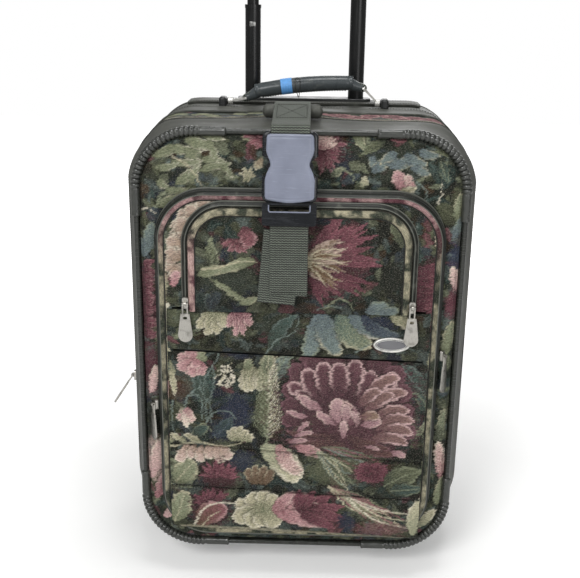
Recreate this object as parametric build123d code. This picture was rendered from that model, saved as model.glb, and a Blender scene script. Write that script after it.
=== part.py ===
from build123d import *
import os
from math import cos, pi, radians, sin

# Rolling suitcase with a tapestry front, millimetres.
# +Z is up, +X is to the right seen from the front, and the front faces -Y.
# The origin lies on the floor, under the middle of the body.

os.makedirs("parts", exist_ok=True)

# Body
BODY_WIDTH = 380.0
BODY_HEIGHT = 486.0
BODY_CORNER = 66.0
FLOOR_GAP = 28.0
FRONT_Y = -98.0
LID_DEPTH = 72.0
BODY_DEPTH = 151.0
SKIN = 1.4
BOARD = 3.0
LINING = 0.8
SEAT = 0.1
CLEAR = 0.3

# Bands round the body
ZIP_TAPE = 5.5
ZIP_GAP = 0.25
TAPESTRY_BAND = 34.0
WELT_RADIUS = 1.5
BACK_PANEL = 4.0
BACK_INSET = 3.5

# Lid
EDGE_WIDTH = BODY_WIDTH - 40.0
EDGE_LOW = 5.3
EDGE_HIGH = BODY_HEIGHT - 8.0
EDGE_CORNER = 60.0
EDGE_RADIUS = 2.9
SLEEVE_RADIUS = 5.3
SLEEVE_VALLEY = 4.4
SLEEVE_SMOOTH = 4.9
SLEEVE_TOP_RUN = 34.0
SLEEVE_SIDE_RUN = 29.0
SLEEVE_PLAIN = 27.0
RIB_PITCH = 4.95
RIB_COUNT = 20
PANEL_PROUD = 1.5
GUSSET_WALL = 2.0
GUSSET_START = 5.6
FLANGE = 18.0

# Pockets on the lid
LARGE_HALF = EDGE_WIDTH / 2 - 21.5
LARGE_LOW = 24.0
LARGE_HIGH = EDGE_HIGH - 59.5
LARGE_CORNER = 52.0
LARGE_WALL = 10.5
LARGE_DEPTH = 14.5
LARGE_SLOPE = 9.0
LARGE_ZIP_END = 146.0
SMALL_HALF = LARGE_HALF - 34.0
SMALL_LOW = LARGE_HIGH - 124.5
SMALL_HIGH = LARGE_HIGH - 15.0
SMALL_CORNER = 38.0
SMALL_DEPTH = 12.0
SMALL_WALL = 5.0
SMALL_SLOPE = 12.0
SMALL_ZIP_THICK = 5.5
ZIP_STRIP = 6.4
ZIP_STRIP_THICK = 2.0
BAND_LOW = SMALL_LOW - 49.0
BAND_THICK = 2.5
SLIP_LOW = 34.0
SLIP_THICK = 3.5
TUCK_LEVELS = (131.0, 80.0)
TUCK_WIDTH = 4.0
TUCK_DEPTH = 2.0
FLAT_HALF = LARGE_HALF - 14.5
BADGE_X = 98.5
BADGE_LEVEL = BAND_LOW + 15.0
BADGE_LENGTH = 39.0
BADGE_HEIGHT = 16.5
BADGE_THICK = 2.0

# Telescoping handle
POST_SPACING = 124.0
POST_DEPTH = 106.0
OUTER_TUBE_RADIUS = 10.4
STAGE_RADIUS = 9.25
INNER_RADIUS = 6.9
TUBE_WALL = 0.9
COLLAR_LENGTH = 14.0
COLLAR_RADIUS = 9.7
COLLAR_RIM = 4.0
BUSH_LENGTH = 20.0
STAGE_LENGTH = BODY_HEIGHT - 86.0
LEFT_STAGE_OUT = 109.0
RIGHT_STAGE_OUT = 150.0
INNER_LENGTH = 368.0
GRIP_TRAVEL = 415.0
BRACKET_HEIGHT = 16.0
TOP_STRIP_LENGTH = 280.0
TOP_STRIP_DEPTH = 43.0
TOP_STRIP_THICK = 3.5
BEZEL_LENGTH = 160.0
BEZEL_DEPTH = 28.0
BEZEL_THICK = 3.0
GRIP_LENGTH = 150.0
GRIP_HEIGHT = 30.0
GRIP_DEPTH = 25.0
BUTTON_LENGTH = 38.0
BUTTON_DEPTH = 11.0
BUTTON_HEIGHT = 7.0
BUTTON_PROUD = 3.0
BUTTON_TRAVEL = 3.0

# Wheels and feet
WHEEL_RADIUS = 30.0
WHEEL_WIDTH = 22.0
WHEEL_SPACING = 282.0
WHEEL_DEPTH = 106.0
HUB_RADIUS = 21.0
AXLE_RADIUS = 3.0
AXLE_CLEAR = 0.06
HOUSING_RADIUS = 37.0
HOUSING_WIDTH = 46.0
HOUSING_LOW = 14.0
WELL_RADIUS = 32.5
WELL_WIDTH = 25.0
FOOT_SPACING = 210.0
FOOT_FRONT = 10.0
FOOT_LENGTH = 36.0
FOOT_DEPTH = 28.0
SKID_SPACING = 110.0
SKID_WIDTH = 14.0
SKID_THICK = 6.0
SKID_LENGTH = 210.0

# Carry handle
CARRY_DEPTH = 67.0
CARRY_TILT = 5.5
CARRY_HALF = 57.0
CARRY_RISE = 3.0
CARRY_LEVEL = 22.0
CARRY_RADIUS = 8.8
CARRY_CORE = 5.6
CARRY_PIVOT_LEVEL = 5.0
CARRY_EYE_LENGTH = 8.4
CARRY_EYE_OUT = 11.5
CARRY_EYE_DROP = 6.5
CARRY_FOLD = 0.6
ANCHOR_SPACING = 180.0
ANCHOR_WIDTH = 9.0
ANCHOR_DEPTH = 20.0
ANCHOR_HEIGHT = 10.0
ANCHOR_PIN = 2.0
ANCHOR_PIN_LENGTH = 7.0
ANCHOR_PIN_ROOT = 2.0
RING_WIRE = 2.4
RING_WIDTH = 17.0
RING_NECK = 9.0
RING_EYE = 4.2
RING_EYE_HALF = 2.0
RING_CAP = 1.2
TAPE_CENTRE = -20.0
TAPE_WIDTH = 13.0
TAPE_THICK = 0.4

# Add-a-bag strap
STRAP_X = -10.5
WEBBING_WIDTH = 38.5
WEBBING = 1.6
ROLL_LENGTH = 64.0
ROLL_RADIUS = 7.5
ROLL_DEPTH = -42.0
BUCKLE_TILT = 9.0
BUCKLE_TOP = EDGE_HIGH + 4.0
BUCKLE_BACK = -16.0
BUCKLE_WIDTH = 55.0
BUCKLE_THICK = 13.5
SHELL_LENGTH = 70.0
INSERT_LENGTH = 23.0
BUCKLE_WALL = 2.4
PRONG_LENGTH = 46.0
TAIL_LEVEL = BUCKLE_TOP - 164.0
LOOP_LEVEL = TAIL_LEVEL - 10.0
LOOP_TURN = 5.0
LOOP_SHIFT = -6.0

# Zip sliders and pulls
SLIDER_WIDTH = 6.4
SLIDER_LENGTH = 12.0
SLIDER_THICK = 3.0
PIVOT_OUT = 5.0
BRIDGE_WIDTH = 2.4
BRIDGE_RADIUS = 2.3
BAIL_WIRE = 0.7
BAIL_HALF = 2.5
BAIL_LENGTH = 12.0
PADDLE_LENGTH = 31.0
PADDLE_RADIUS = 7.6
PADDLE_NECK = 4.6
PADDLE_THICK = 1.8
MAIN_SLIDER_LEVEL = 180.0
MAIN_PULL_LEAN = 33.0
SMALL_SLIDER_LEVEL = SMALL_LOW + 9.0
SMALL_PIVOT = 10.5
LEFT_SLIDER_LEVEL = 181.0
RIGHT_SLIDER_LEVEL = 245.0
SIDE_TURN = 62.0
SIDE_PIVOT = 8.5
SIDE_PIVOT_DEPTH = 10.0

# Worked out from the sizes above
BOTTOM = FLOOR_GAP
TOP = BOTTOM + BODY_HEIGHT
ZIP_Y = FRONT_Y + LID_DEPTH
BACK_Y = ZIP_Y + BODY_DEPTH
PANEL_Y = FRONT_Y - PANEL_PROUD
LARGE_Y = PANEL_Y - LARGE_DEPTH
SMALL_Y = LARGE_Y - SMALL_DEPTH
POST_X = POST_SPACING / 2
POST_Y = POST_DEPTH
BEZEL_TOP = TOP + TOP_STRIP_THICK + BEZEL_THICK
GRIP_BOTTOM = BEZEL_TOP + COLLAR_RIM + 1.5 + GRIP_TRAVEL
INNER_BOTTOM = GRIP_BOTTOM - INNER_LENGTH
WHEEL_X = WHEEL_SPACING / 2
SHELL_INSET = SKIN + SEAT
WELT_GAP = WELT_RADIUS + 0.2
BAND_BACK_Y = ZIP_Y + ZIP_TAPE + TAPESTRY_BAND
GUSSET_Y = BAND_BACK_Y + 2 * WELT_GAP
GUSSET_BACK_Y = BACK_Y - BACK_PANEL - WELT_RADIUS
BOARD_BACK_Y = GUSSET_BACK_Y
PAD_Y = POST_Y - OUTER_TUBE_RADIUS - 3.0


def upright(y, low, high):
    """Plane facing the front at depth y, centred between two levels."""
    return Plane((0, y, (low + high) / 2), x_dir=(1, 0, 0), z_dir=(0, -1, 0))


def slab(half, low, high, corner, y_front, y_back, x=0.0):
    """Rounded upright rectangle filled between two depths."""
    face = upright(y_back, low, high) * RectangleRounded(2 * half, high - low, corner)
    return Pos(x, 0, 0) * extrude(face, amount=y_back - y_front)


def body_slab(inset, y_front, y_back):
    half = BODY_WIDTH / 2 - inset
    return slab(half, BOTTOM + inset, TOP - inset, BODY_CORNER - inset, y_front, y_back)


def body_band(outer, inner, y_front, y_back):
    return body_slab(outer, y_front, y_back) - body_slab(inner, y_front, y_back)


def block(x0, x1, y0, y1, z0, z1):
    """Box given by its two corners."""
    middle = Pos((x0 + x1) / 2, (y0 + y1) / 2, (z0 + z1) / 2)
    return middle * Box(x1 - x0, y1 - y0, z1 - z0)


def rod(radius, start, axis, length):
    """Round bar from a point along an axis."""
    return extrude(Plane(start, z_dir=axis) * Circle(radius), amount=length)


def tube(outer, inner, x, y, low, high):
    ring = Circle(outer) - Circle(inner)
    return extrude(Plane((x, y, low)) * ring, amount=high - low)


def both_sides(piece):
    """The piece and its mirror image across the middle plane."""
    return piece + mirror(piece, about=Plane.YZ)


def write(name, shape):
    export_step(shape, f"parts/{name}.step")


# Wheel housings come first, because the body is cut round them
def housing_form(grow):
    centre = (WHEEL_X - HOUSING_WIDTH / 2 - grow, WHEEL_DEPTH, WHEEL_RADIUS)
    drum = rod(HOUSING_RADIUS + grow, centre, (1, 0, 0), HOUSING_WIDTH + 2 * grow)
    floor = block(0, BODY_WIDTH, -BODY_WIDTH, BODY_WIDTH, -BODY_WIDTH, HOUSING_LOW - grow)
    return drum - floor


def wheel_housing():
    body = housing_form(0)
    start = (WHEEL_X - WELL_WIDTH / 2, WHEEL_DEPTH, WHEEL_RADIUS)
    body -= rod(WELL_RADIUS, start, (1, 0, 0), WELL_WIDTH)
    rear = WHEEL_DEPTH + WHEEL_RADIUS / 3
    inner = WHEEL_X - WELL_WIDTH / 2
    body -= block(inner, inner + WELL_WIDTH, rear, rear + BODY_WIDTH, 0, WHEEL_RADIUS + 12)
    hole = WHEEL_X - HOUSING_WIDTH / 2 + 3
    body -= rod(AXLE_RADIUS + 0.02, (hole, WHEEL_DEPTH, WHEEL_RADIUS), (1, 0, 0), HOUSING_WIDTH - 6)
    return body


NOTCHES = both_sides(housing_form(CLEAR))
POST_HOLES = both_sides(rod(OUTER_TUBE_RADIUS + SEAT, (POST_X, POST_Y, TOP - 20), (0, 0, 1), 60))


# Body shell and its skins
def board_frame():
    inner = SHELL_INSET + BOARD
    shell = body_slab(SHELL_INSET, ZIP_Y + ZIP_TAPE, BOARD_BACK_Y)
    shell -= body_slab(inner, ZIP_Y + ZIP_TAPE, BOARD_BACK_Y - BOARD)
    return shell - NOTCHES - POST_HOLES


def lining():
    outer = SHELL_INSET + BOARD + SEAT
    skin = body_band(outer, outer + LINING, ZIP_Y + ZIP_TAPE, PAD_Y)
    return skin - NOTCHES


def inner_back_pad():
    inset = SHELL_INSET + BOARD + SEAT
    return body_slab(inset, PAD_Y, PAD_Y + 2.0) - NOTCHES


def welt(inset, y):
    """Round cord sewn into a seam all round the body."""
    half = BODY_WIDTH / 2 - inset
    low = BOTTOM + inset
    high = TOP - inset
    loop = upright(y, low, high) * RectangleRounded(2 * half, high - low, BODY_CORNER - inset)
    start = Plane((0, y, high), z_dir=(1, 0, 0))
    return sweep(start * Circle(WELT_RADIUS), path=loop.face().outer_wire())


def rear_piping():
    cords = welt(0, BAND_BACK_Y + WELT_GAP)
    rear = welt(WELT_RADIUS, BACK_Y - WELT_RADIUS)
    return cords + (rear - NOTCHES)


def back_panel():
    inset = 2 * WELT_RADIUS + 0.2
    panel = body_slab(inset, GUSSET_BACK_Y, BACK_Y)
    return panel - NOTCHES


def rear_gusset():
    skin = body_band(0, SKIN, GUSSET_Y, GUSSET_BACK_Y - WELT_RADIUS)
    return skin - NOTCHES - POST_HOLES


def top_strip():
    y0 = BACK_Y - WELT_RADIUS - TOP_STRIP_DEPTH
    middle = Plane((0, y0 + TOP_STRIP_DEPTH / 2, TOP))
    plate = extrude(middle * RectangleRounded(TOP_STRIP_LENGTH, TOP_STRIP_DEPTH, 3), TOP_STRIP_THICK)
    straight = BODY_WIDTH / 2 - BODY_CORNER
    ends = block(straight, BODY_WIDTH, y0 - 1, BACK_Y + 1, TOP - 60, TOP + 60)
    drop = body_slab(-TOP_STRIP_THICK, y0, y0 + TOP_STRIP_DEPTH) - body_slab(0, y0, y0 + TOP_STRIP_DEPTH)
    reach = block(straight, TOP_STRIP_LENGTH / 2, y0, y0 + TOP_STRIP_DEPTH, TOP - 60, TOP + 60)
    plate -= both_sides(ends)
    return plate + both_sides(drop & reach) - POST_HOLES


# Telescoping handle
def outer_tubes():
    low = BOTTOM + BRACKET_HEIGHT
    bore = OUTER_TUBE_RADIUS - TUBE_WALL
    return both_sides(tube(OUTER_TUBE_RADIUS, bore, POST_X, POST_Y, low, BEZEL_TOP - 1))


def tube_bracket():
    low = BOTTOM + SHELL_INSET + BOARD
    high = BOTTOM + BRACKET_HEIGHT
    half = POST_X + OUTER_TUBE_RADIUS + 4
    front = PAD_Y + 2.5
    back = BOARD_BACK_Y - BOARD
    body = block(-half, half, front, back, low, high + 8)
    body -= block(-POST_X + 16, POST_X - 16, front - 1, back - 3, low + 4, high + 9)
    return body - both_sides(rod(OUTER_TUBE_RADIUS + SEAT, (POST_X, POST_Y, high), (0, 0, 1), 40))


def handle_bezel():
    level = TOP + TOP_STRIP_THICK
    base = Plane((0, POST_Y, level)) * RectangleRounded(BEZEL_LENGTH, BEZEL_DEPTH, 10)
    plate = extrude(base, BEZEL_THICK)
    plate = fillet(plate.edges().group_by(Axis.Z)[-1], 1.2)
    bore = OUTER_TUBE_RADIUS + SEAT
    plate -= both_sides(rod(bore, (POST_X, POST_Y, level), (0, 0, 1), BEZEL_THICK - 1))
    return plate - both_sides(rod(STAGE_RADIUS + CLEAR, (POST_X, POST_Y, level), (0, 0, 1), 20))


def stage_tube(x, out):
    high = TOP + out
    low = high - STAGE_LENGTH
    body = tube(STAGE_RADIUS, STAGE_RADIUS - TUBE_WALL, x, POST_Y, low, high)
    bore = INNER_RADIUS + CLEAR
    plug_low = high + COLLAR_RIM - COLLAR_LENGTH
    collar = tube(COLLAR_RADIUS, bore, x, POST_Y, high, high + COLLAR_RIM)
    collar += tube(STAGE_RADIUS - TUBE_WALL - 0.05, bore, x, POST_Y, plug_low, high)
    return Compound([body.solid(), collar.solid()])


def inner_tubes():
    high = GRIP_BOTTOM
    post = tube(INNER_RADIUS, INNER_RADIUS - TUBE_WALL, POST_X, POST_Y, INNER_BOTTOM, high)
    bush = STAGE_RADIUS - TUBE_WALL - CLEAR
    post += tube(bush, INNER_RADIUS - TUBE_WALL, POST_X, POST_Y, INNER_BOTTOM, INNER_BOTTOM + BUSH_LENGTH)
    return both_sides(post)


def pull_grip():
    half = GRIP_LENGTH / 2
    level = GRIP_BOTTOM + GRIP_HEIGHT / 2
    face = Plane((0, POST_Y, level), x_dir=(1, 0, 0), z_dir=(0, -1, 0))
    side = face * RectangleRounded(GRIP_LENGTH, GRIP_HEIGHT, 12)
    body = extrude(side, amount=GRIP_DEPTH / 2, both=True)
    hand = Pos(0, POST_Y, GRIP_BOTTOM - 66) * Rot(90, 0, 0) * Cylinder(74, 2 * GRIP_DEPTH)
    body -= hand & block(-half + 24, half - 24, 0, 2 * POST_Y, 0, GRIP_BOTTOM + GRIP_HEIGHT)
    body = fillet(body.edges().filter_by(GeomType.LINE).filter_by(Axis.X), 5)
    high = GRIP_BOTTOM + GRIP_HEIGHT
    pocket = Plane((0, POST_Y, high - BUTTON_HEIGHT - 1)) * RectangleRounded(
        BUTTON_LENGTH + 2 * CLEAR, BUTTON_DEPTH + 2 * CLEAR, 3 + CLEAR
    )
    return body - extrude(pocket, BUTTON_HEIGHT + 5)


def grip_button():
    high = GRIP_BOTTOM + GRIP_HEIGHT + BUTTON_PROUD
    low = high - BUTTON_HEIGHT + 0.3
    base = Plane((0, POST_Y, low)) * RectangleRounded(BUTTON_LENGTH, BUTTON_DEPTH, 3)
    button = extrude(base, high - low)
    return fillet(button.edges().group_by(Axis.Z)[-1], 1.5)


# Wheels, feet and skids
def wheel_profile(points):
    face = make_face(Polyline(points, close=True))
    plane = Plane((WHEEL_X, WHEEL_DEPTH, WHEEL_RADIUS), x_dir=(1, 0, 0), z_dir=(0, -1, 0))
    axis = Axis((WHEEL_X, WHEEL_DEPTH, WHEEL_RADIUS), (1, 0, 0))
    return revolve(plane * face, axis=axis)


def wheel_tyre():
    half = WHEEL_WIDTH / 2
    edge = half - 4
    points = [(-half, HUB_RADIUS), (-half, WHEEL_RADIUS - 3), (-edge, WHEEL_RADIUS)]
    points += [(edge, WHEEL_RADIUS), (half, WHEEL_RADIUS - 3), (half, HUB_RADIUS)]
    return wheel_profile(points)


def wheel_hub():
    half = WHEEL_WIDTH / 2
    bore = AXLE_RADIUS + AXLE_CLEAR
    rim = HUB_RADIUS - 3
    points = [(-half, bore), (-half, 7), (-4, 8), (-4, rim), (-half, rim + 1), (-half, HUB_RADIUS)]
    points += [(half, HUB_RADIUS), (half, rim + 1), (4, rim), (4, 8), (half, 7), (half, bore)]
    hub = wheel_profile(points)
    for turn in range(5):
        angle = 2 * pi * turn / 5
        y = WHEEL_DEPTH + 13 * cos(angle)
        z = WHEEL_RADIUS + 13 * sin(angle)
        hub -= rod(3.2, (WHEEL_X - 8, y, z), (1, 0, 0), 16)
    return hub


def wheel_axles():
    start = WHEEL_X - HOUSING_WIDTH / 2 + 3.1
    pin = rod(AXLE_RADIUS, (start, WHEEL_DEPTH, WHEEL_RADIUS), (1, 0, 0), HOUSING_WIDTH - 6.2)
    return both_sides(pin)


def front_feet():
    x = FOOT_SPACING / 2
    y = ZIP_Y + FOOT_FRONT + FOOT_DEPTH / 2
    wide = Plane((x, y, BOTTOM)) * RectangleRounded(FOOT_LENGTH, FOOT_DEPTH, 8)
    narrow = Plane((x, y, 3)) * RectangleRounded(FOOT_LENGTH - 8, FOOT_DEPTH - 8, 5)
    sole = Plane((x, y, 0)) * RectangleRounded(FOOT_LENGTH - 14, FOOT_DEPTH - 14, 3)
    return both_sides(loft([wide, narrow], ruled=True) + loft([narrow, sole], ruled=True))


def skid_rails():
    low = BOTTOM + 52
    face = Plane((SKID_SPACING / 2, BACK_Y, low + SKID_LENGTH / 2), x_dir=(-1, 0, 0), z_dir=(0, 1, 0))
    rail = extrude(face * SlotOverall(SKID_LENGTH, SKID_WIDTH, rotation=90), SKID_THICK)
    rail = fillet(rail.edges().group_by(Axis.Y)[-1], 2.5)
    return both_sides(rail)


# Main zip
def zip_tape(side):
    """One tape of the main zip: side -1 on the lid, +1 on the body."""
    near = ZIP_Y + side * ZIP_GAP
    far = ZIP_Y + side * ZIP_TAPE
    return body_band(0, SKIN, min(near, far), max(near, far))


# Lid
def lid_section(inset, y):
    """Outline of the lid gusset at one depth: the front edge grows into the body."""
    share = (y - FRONT_Y - GUSSET_START) / (LID_DEPTH - ZIP_TAPE - GUSSET_START)
    front_half = EDGE_WIDTH / 2 + 1
    half = front_half + share * (BODY_WIDTH / 2 - front_half) - inset
    low = BOTTOM + (EDGE_LOW - 1) * (1 - share) + inset
    high = TOP - (BODY_HEIGHT - EDGE_HIGH - 1) * (1 - share) - inset
    corner = EDGE_CORNER + 1 + share * (BODY_CORNER - EDGE_CORNER - 1) - inset
    return upright(y, low, high) * RectangleRounded(2 * half, high - low, corner)


def lid_gusset():
    front = FRONT_Y + GUSSET_START
    back = ZIP_Y - ZIP_TAPE
    outer = loft([lid_section(0, front), lid_section(0, back)], ruled=True)
    inner = loft([lid_section(GUSSET_WALL, front), lid_section(GUSSET_WALL, back)], ruled=True)
    skin = outer - inner
    flange = extrude(lid_section(GUSSET_WALL / 2, front) - lid_section(FLANGE, front), amount=-GUSSET_WALL)
    return skin + (flange & outer)


def lid_panel():
    inset = SLEEVE_RADIUS + CLEAR
    half = EDGE_WIDTH / 2 - inset
    low = BOTTOM + EDGE_LOW + inset
    high = BOTTOM + EDGE_HIGH - inset
    return slab(half, low, high, EDGE_CORNER - inset, PANEL_Y, FRONT_Y + GUSSET_START)


def edge_tube():
    low = BOTTOM + EDGE_LOW
    high = BOTTOM + EDGE_HIGH
    loop = upright(FRONT_Y, low, high) * RectangleRounded(EDGE_WIDTH, high - low, EDGE_CORNER)
    start = Plane((0, FRONT_Y, high), z_dir=(1, 0, 0))
    return sweep(start * Circle(EDGE_RADIUS), path=loop.face().outer_wire())


def edge_station(side, up, run):
    """Point and direction on the edge tube, run millimetres from the sleeve's end."""
    x = side * (EDGE_WIDTH / 2 - EDGE_CORNER)
    level = EDGE_HIGH - EDGE_CORNER if up > 0 else EDGE_LOW + EDGE_CORNER
    arc = pi / 2 * EDGE_CORNER
    if run <= SLEEVE_TOP_RUN:
        point = (x - side * (SLEEVE_TOP_RUN - run), level + up * EDGE_CORNER)
        return point, (side, 0)
    if run <= SLEEVE_TOP_RUN + arc:
        angle = (run - SLEEVE_TOP_RUN) / EDGE_CORNER
        point = (x + side * EDGE_CORNER * sin(angle), level + up * EDGE_CORNER * cos(angle))
        return point, (side * cos(angle), -up * sin(angle))
    rest = run - SLEEVE_TOP_RUN - arc
    return (x + side * EDGE_CORNER, level - up * rest), (0, -up)


def sleeve_section(side, up, run, radius):
    (x, level), (dx, dz) = edge_station(side, up, run)
    plane = Plane((x, FRONT_Y, BOTTOM + level), x_dir=(0, 1, 0), z_dir=(dx, 0, dz))
    return plane * RegularPolygon(radius, 8)


def corner_sleeve(side, up):
    """Ribbed sleeve over one corner of the edge tube, plain at both ends."""
    total = SLEEVE_TOP_RUN + pi / 2 * EDGE_CORNER + SLEEVE_SIDE_RUN
    runs = [(0, SLEEVE_SMOOTH), (SLEEVE_PLAIN, SLEEVE_SMOOTH)]
    for rib in range(RIB_COUNT):
        start = SLEEVE_PLAIN + 1.0 + rib * RIB_PITCH
        runs.append((start, SLEEVE_VALLEY))
        runs.append((start + RIB_PITCH / 2, SLEEVE_RADIUS))
    ribs_end = SLEEVE_PLAIN + 1.0 + RIB_COUNT * RIB_PITCH
    runs += [(ribs_end, SLEEVE_VALLEY), (ribs_end + 1, SLEEVE_SMOOTH), (total, SLEEVE_SMOOTH)]
    sleeve = loft([sleeve_section(side, up, run, radius) for run, radius in runs], ruled=True)
    x = side * (EDGE_WIDTH / 2 - EDGE_CORNER)
    level = BOTTOM + (EDGE_HIGH - EDGE_CORNER if up > 0 else EDGE_LOW + EDGE_CORNER)
    radius = EDGE_RADIUS + SEAT
    high = level + up * EDGE_CORNER
    bore = rod(radius, (x, FRONT_Y, high), (-side, 0, 0), SLEEVE_TOP_RUN + 1)
    bore += rod(radius, (x + side * EDGE_CORNER, FRONT_Y, level), (0, 0, -up), SLEEVE_SIDE_RUN + 1)
    ring = Pos(x, FRONT_Y, level) * Rot(90, 0, 0) * Torus(EDGE_CORNER, radius)
    quarter = block(0, BODY_WIDTH, -20, 20, 0, BODY_WIDTH)
    if side < 0:
        quarter = mirror(quarter, about=Plane.YZ)
    if up < 0:
        quarter = mirror(quarter, about=Plane.XY)
    bore += ring & (Pos(x, FRONT_Y, level) * quarter)
    return sleeve - bore


def corner_sleeves():
    sleeves = Part()
    for side in (-1, 1):
        for up in (-1, 1):
            sleeves += corner_sleeve(side, up)
    return sleeves


# Pockets
def pocket(half, low, high, corner, y_base, wall, depth, slope):
    """Padded pocket: straight side wall, then a slope up to a flat front."""
    body = slab(half, BOTTOM + low, BOTTOM + high, corner, y_base - wall, y_base)
    face = upright(y_base - wall, BOTTOM + low, BOTTOM + high)
    wide = face * RectangleRounded(2 * half, high - low, corner)
    top = upright(y_base - depth, BOTTOM + low, BOTTOM + high)
    narrow = top * RectangleRounded(2 * (half - slope), high - low - 2 * slope, corner - slope)
    return body + loft([wide, narrow], ruled=True)


def large_pocket():
    return pocket(
        LARGE_HALF, LARGE_LOW, LARGE_HIGH, LARGE_CORNER, PANEL_Y, LARGE_WALL, LARGE_DEPTH, LARGE_SLOPE
    )


def small_pocket():
    low = SMALL_LOW - SMALL_CORNER
    body = pocket(
        SMALL_HALF, low, SMALL_HIGH, SMALL_CORNER, LARGE_Y, SMALL_WALL, SMALL_DEPTH, SMALL_SLOPE
    )
    return body - block(-SMALL_HALF, SMALL_HALF, SMALL_Y, LARGE_Y, 0, BOTTOM + SMALL_LOW)


def zip_strip(half, low, high, corner, y_front, y_back, width, cut):
    """Zip strip running up one side of a pocket, across the top and down the other."""
    outer = slab(half + SEAT + width, low, high + SEAT + width, corner + SEAT + width, y_front, y_back)
    inner = slab(half + SEAT, low - 50, high + SEAT, corner + SEAT, y_front, y_back)
    below = block(-BODY_WIDTH, BODY_WIDTH, y_front, y_back, 0, cut)
    return outer - inner - below


def large_pocket_zip():
    return zip_strip(
        LARGE_HALF, BOTTOM + LARGE_LOW, BOTTOM + LARGE_HIGH, LARGE_CORNER,
        PANEL_Y - LARGE_WALL + 0.5, PANEL_Y - LARGE_WALL + 0.5 + ZIP_STRIP,
        ZIP_STRIP_THICK, BOTTOM + LARGE_ZIP_END,
    )


def small_pocket_zip():
    return zip_strip(
        SMALL_HALF, BOTTOM + SMALL_LOW - SMALL_CORNER, BOTTOM + SMALL_HIGH, SMALL_CORNER,
        LARGE_Y - SMALL_ZIP_THICK, LARGE_Y, ZIP_STRIP, BOTTOM + SMALL_LOW,
    )


def pocket_band():
    return slab(
        FLAT_HALF, BOTTOM + BAND_LOW, BOTTOM + SMALL_LOW - 0.5, 2, LARGE_Y - BAND_THICK, LARGE_Y
    )


def slip_pocket():
    high = BOTTOM + BAND_LOW - 2
    front = LARGE_Y - SLIP_THICK
    body = slab(FLAT_HALF, BOTTOM + SLIP_LOW, high, 12, front, LARGE_Y)
    for level in TUCK_LEVELS:
        groove = Plane((-FLAT_HALF - 1, front, BOTTOM + level), x_dir=(0, 1, 0), z_dir=(1, 0, 0))
        notch = Polyline([(0, TUCK_WIDTH / 2), (TUCK_DEPTH, 0), (0, -TUCK_WIDTH / 2)], close=True)
        body -= extrude(groove * make_face(notch), 2 * FLAT_HALF + 2)
    return body


def badge():
    plane = upright(LARGE_Y - BAND_THICK, BOTTOM + BADGE_LEVEL, BOTTOM + BADGE_LEVEL)
    oval = Pos(BADGE_X, 0, 0) * plane * Ellipse(BADGE_LENGTH / 2, BADGE_HEIGHT / 2)
    plate = extrude(oval, BADGE_THICK)
    return fillet(plate.edges().group_by(Axis.Y)[0], 0.8)


# Add-a-bag strap
def side_strip(points, thickness, width, x):
    """Flat webbing: a side-view line given thickness, then its width across the bag."""
    line = Plane((x - width / 2, 0, 0), x_dir=(0, 1, 0), z_dir=(1, 0, 0))
    path = FilletPolyline(*points, radius=2.5)
    ribbon = offset(path, amount=thickness / 2, side=Side.BOTH)
    return extrude(line * make_face(ribbon.edges()), width)


def in_buckle(shape):
    """Moves a piece from the buckle's own frame to its place on the lid.

    In its own frame the back face is at y = 0, the top at z = 0 and the front at -y.
    """
    return Pos(STRAP_X, PANEL_Y + BUCKLE_BACK, BOTTOM + BUCKLE_TOP) * Rot(-BUCKLE_TILT, 0, 0) * shape


def buckle_point(y, z):
    """Side-view place of a point given in the buckle's own frame."""
    turn = radians(-BUCKLE_TILT)
    place_y = PANEL_Y + BUCKLE_BACK + y * cos(turn) - z * sin(turn)
    return place_y, BOTTOM + BUCKLE_TOP + y * sin(turn) + z * cos(turn)


def buckle_shell():
    half = BUCKLE_WIDTH / 2
    web = WEBBING_WIDTH / 2 + 1
    face = Plane((0, 0, -SHELL_LENGTH / 2), x_dir=(1, 0, 0), z_dir=(0, -1, 0))
    body = extrude(face * RectangleRounded(BUCKLE_WIDTH, SHELL_LENGTH, 7), BUCKLE_THICK)
    front = body.faces().sort_by(Axis.Y)[0]
    body = fillet(front.edges(), 3)
    for side in (-1, 1):
        waist = Pos(side * (half + 3.5), -BUCKLE_THICK / 2, -35) * Rot(90, 0, 0)
        body -= waist * Cylinder(11, 2 * BUCKLE_THICK)
    cavity = half - 4
    body -= block(-cavity, cavity, -BUCKLE_THICK + BUCKLE_WALL, -BUCKLE_WALL, -SHELL_LENGTH - 1, -13)
    body -= block(-web, web, -BUCKLE_THICK - 1, 1, -10.5, 1)
    bar = block(-web - 1, web + 1, -9.0, -4.5, -4.2, -0.5)
    return in_buckle(body + bar)


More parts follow.
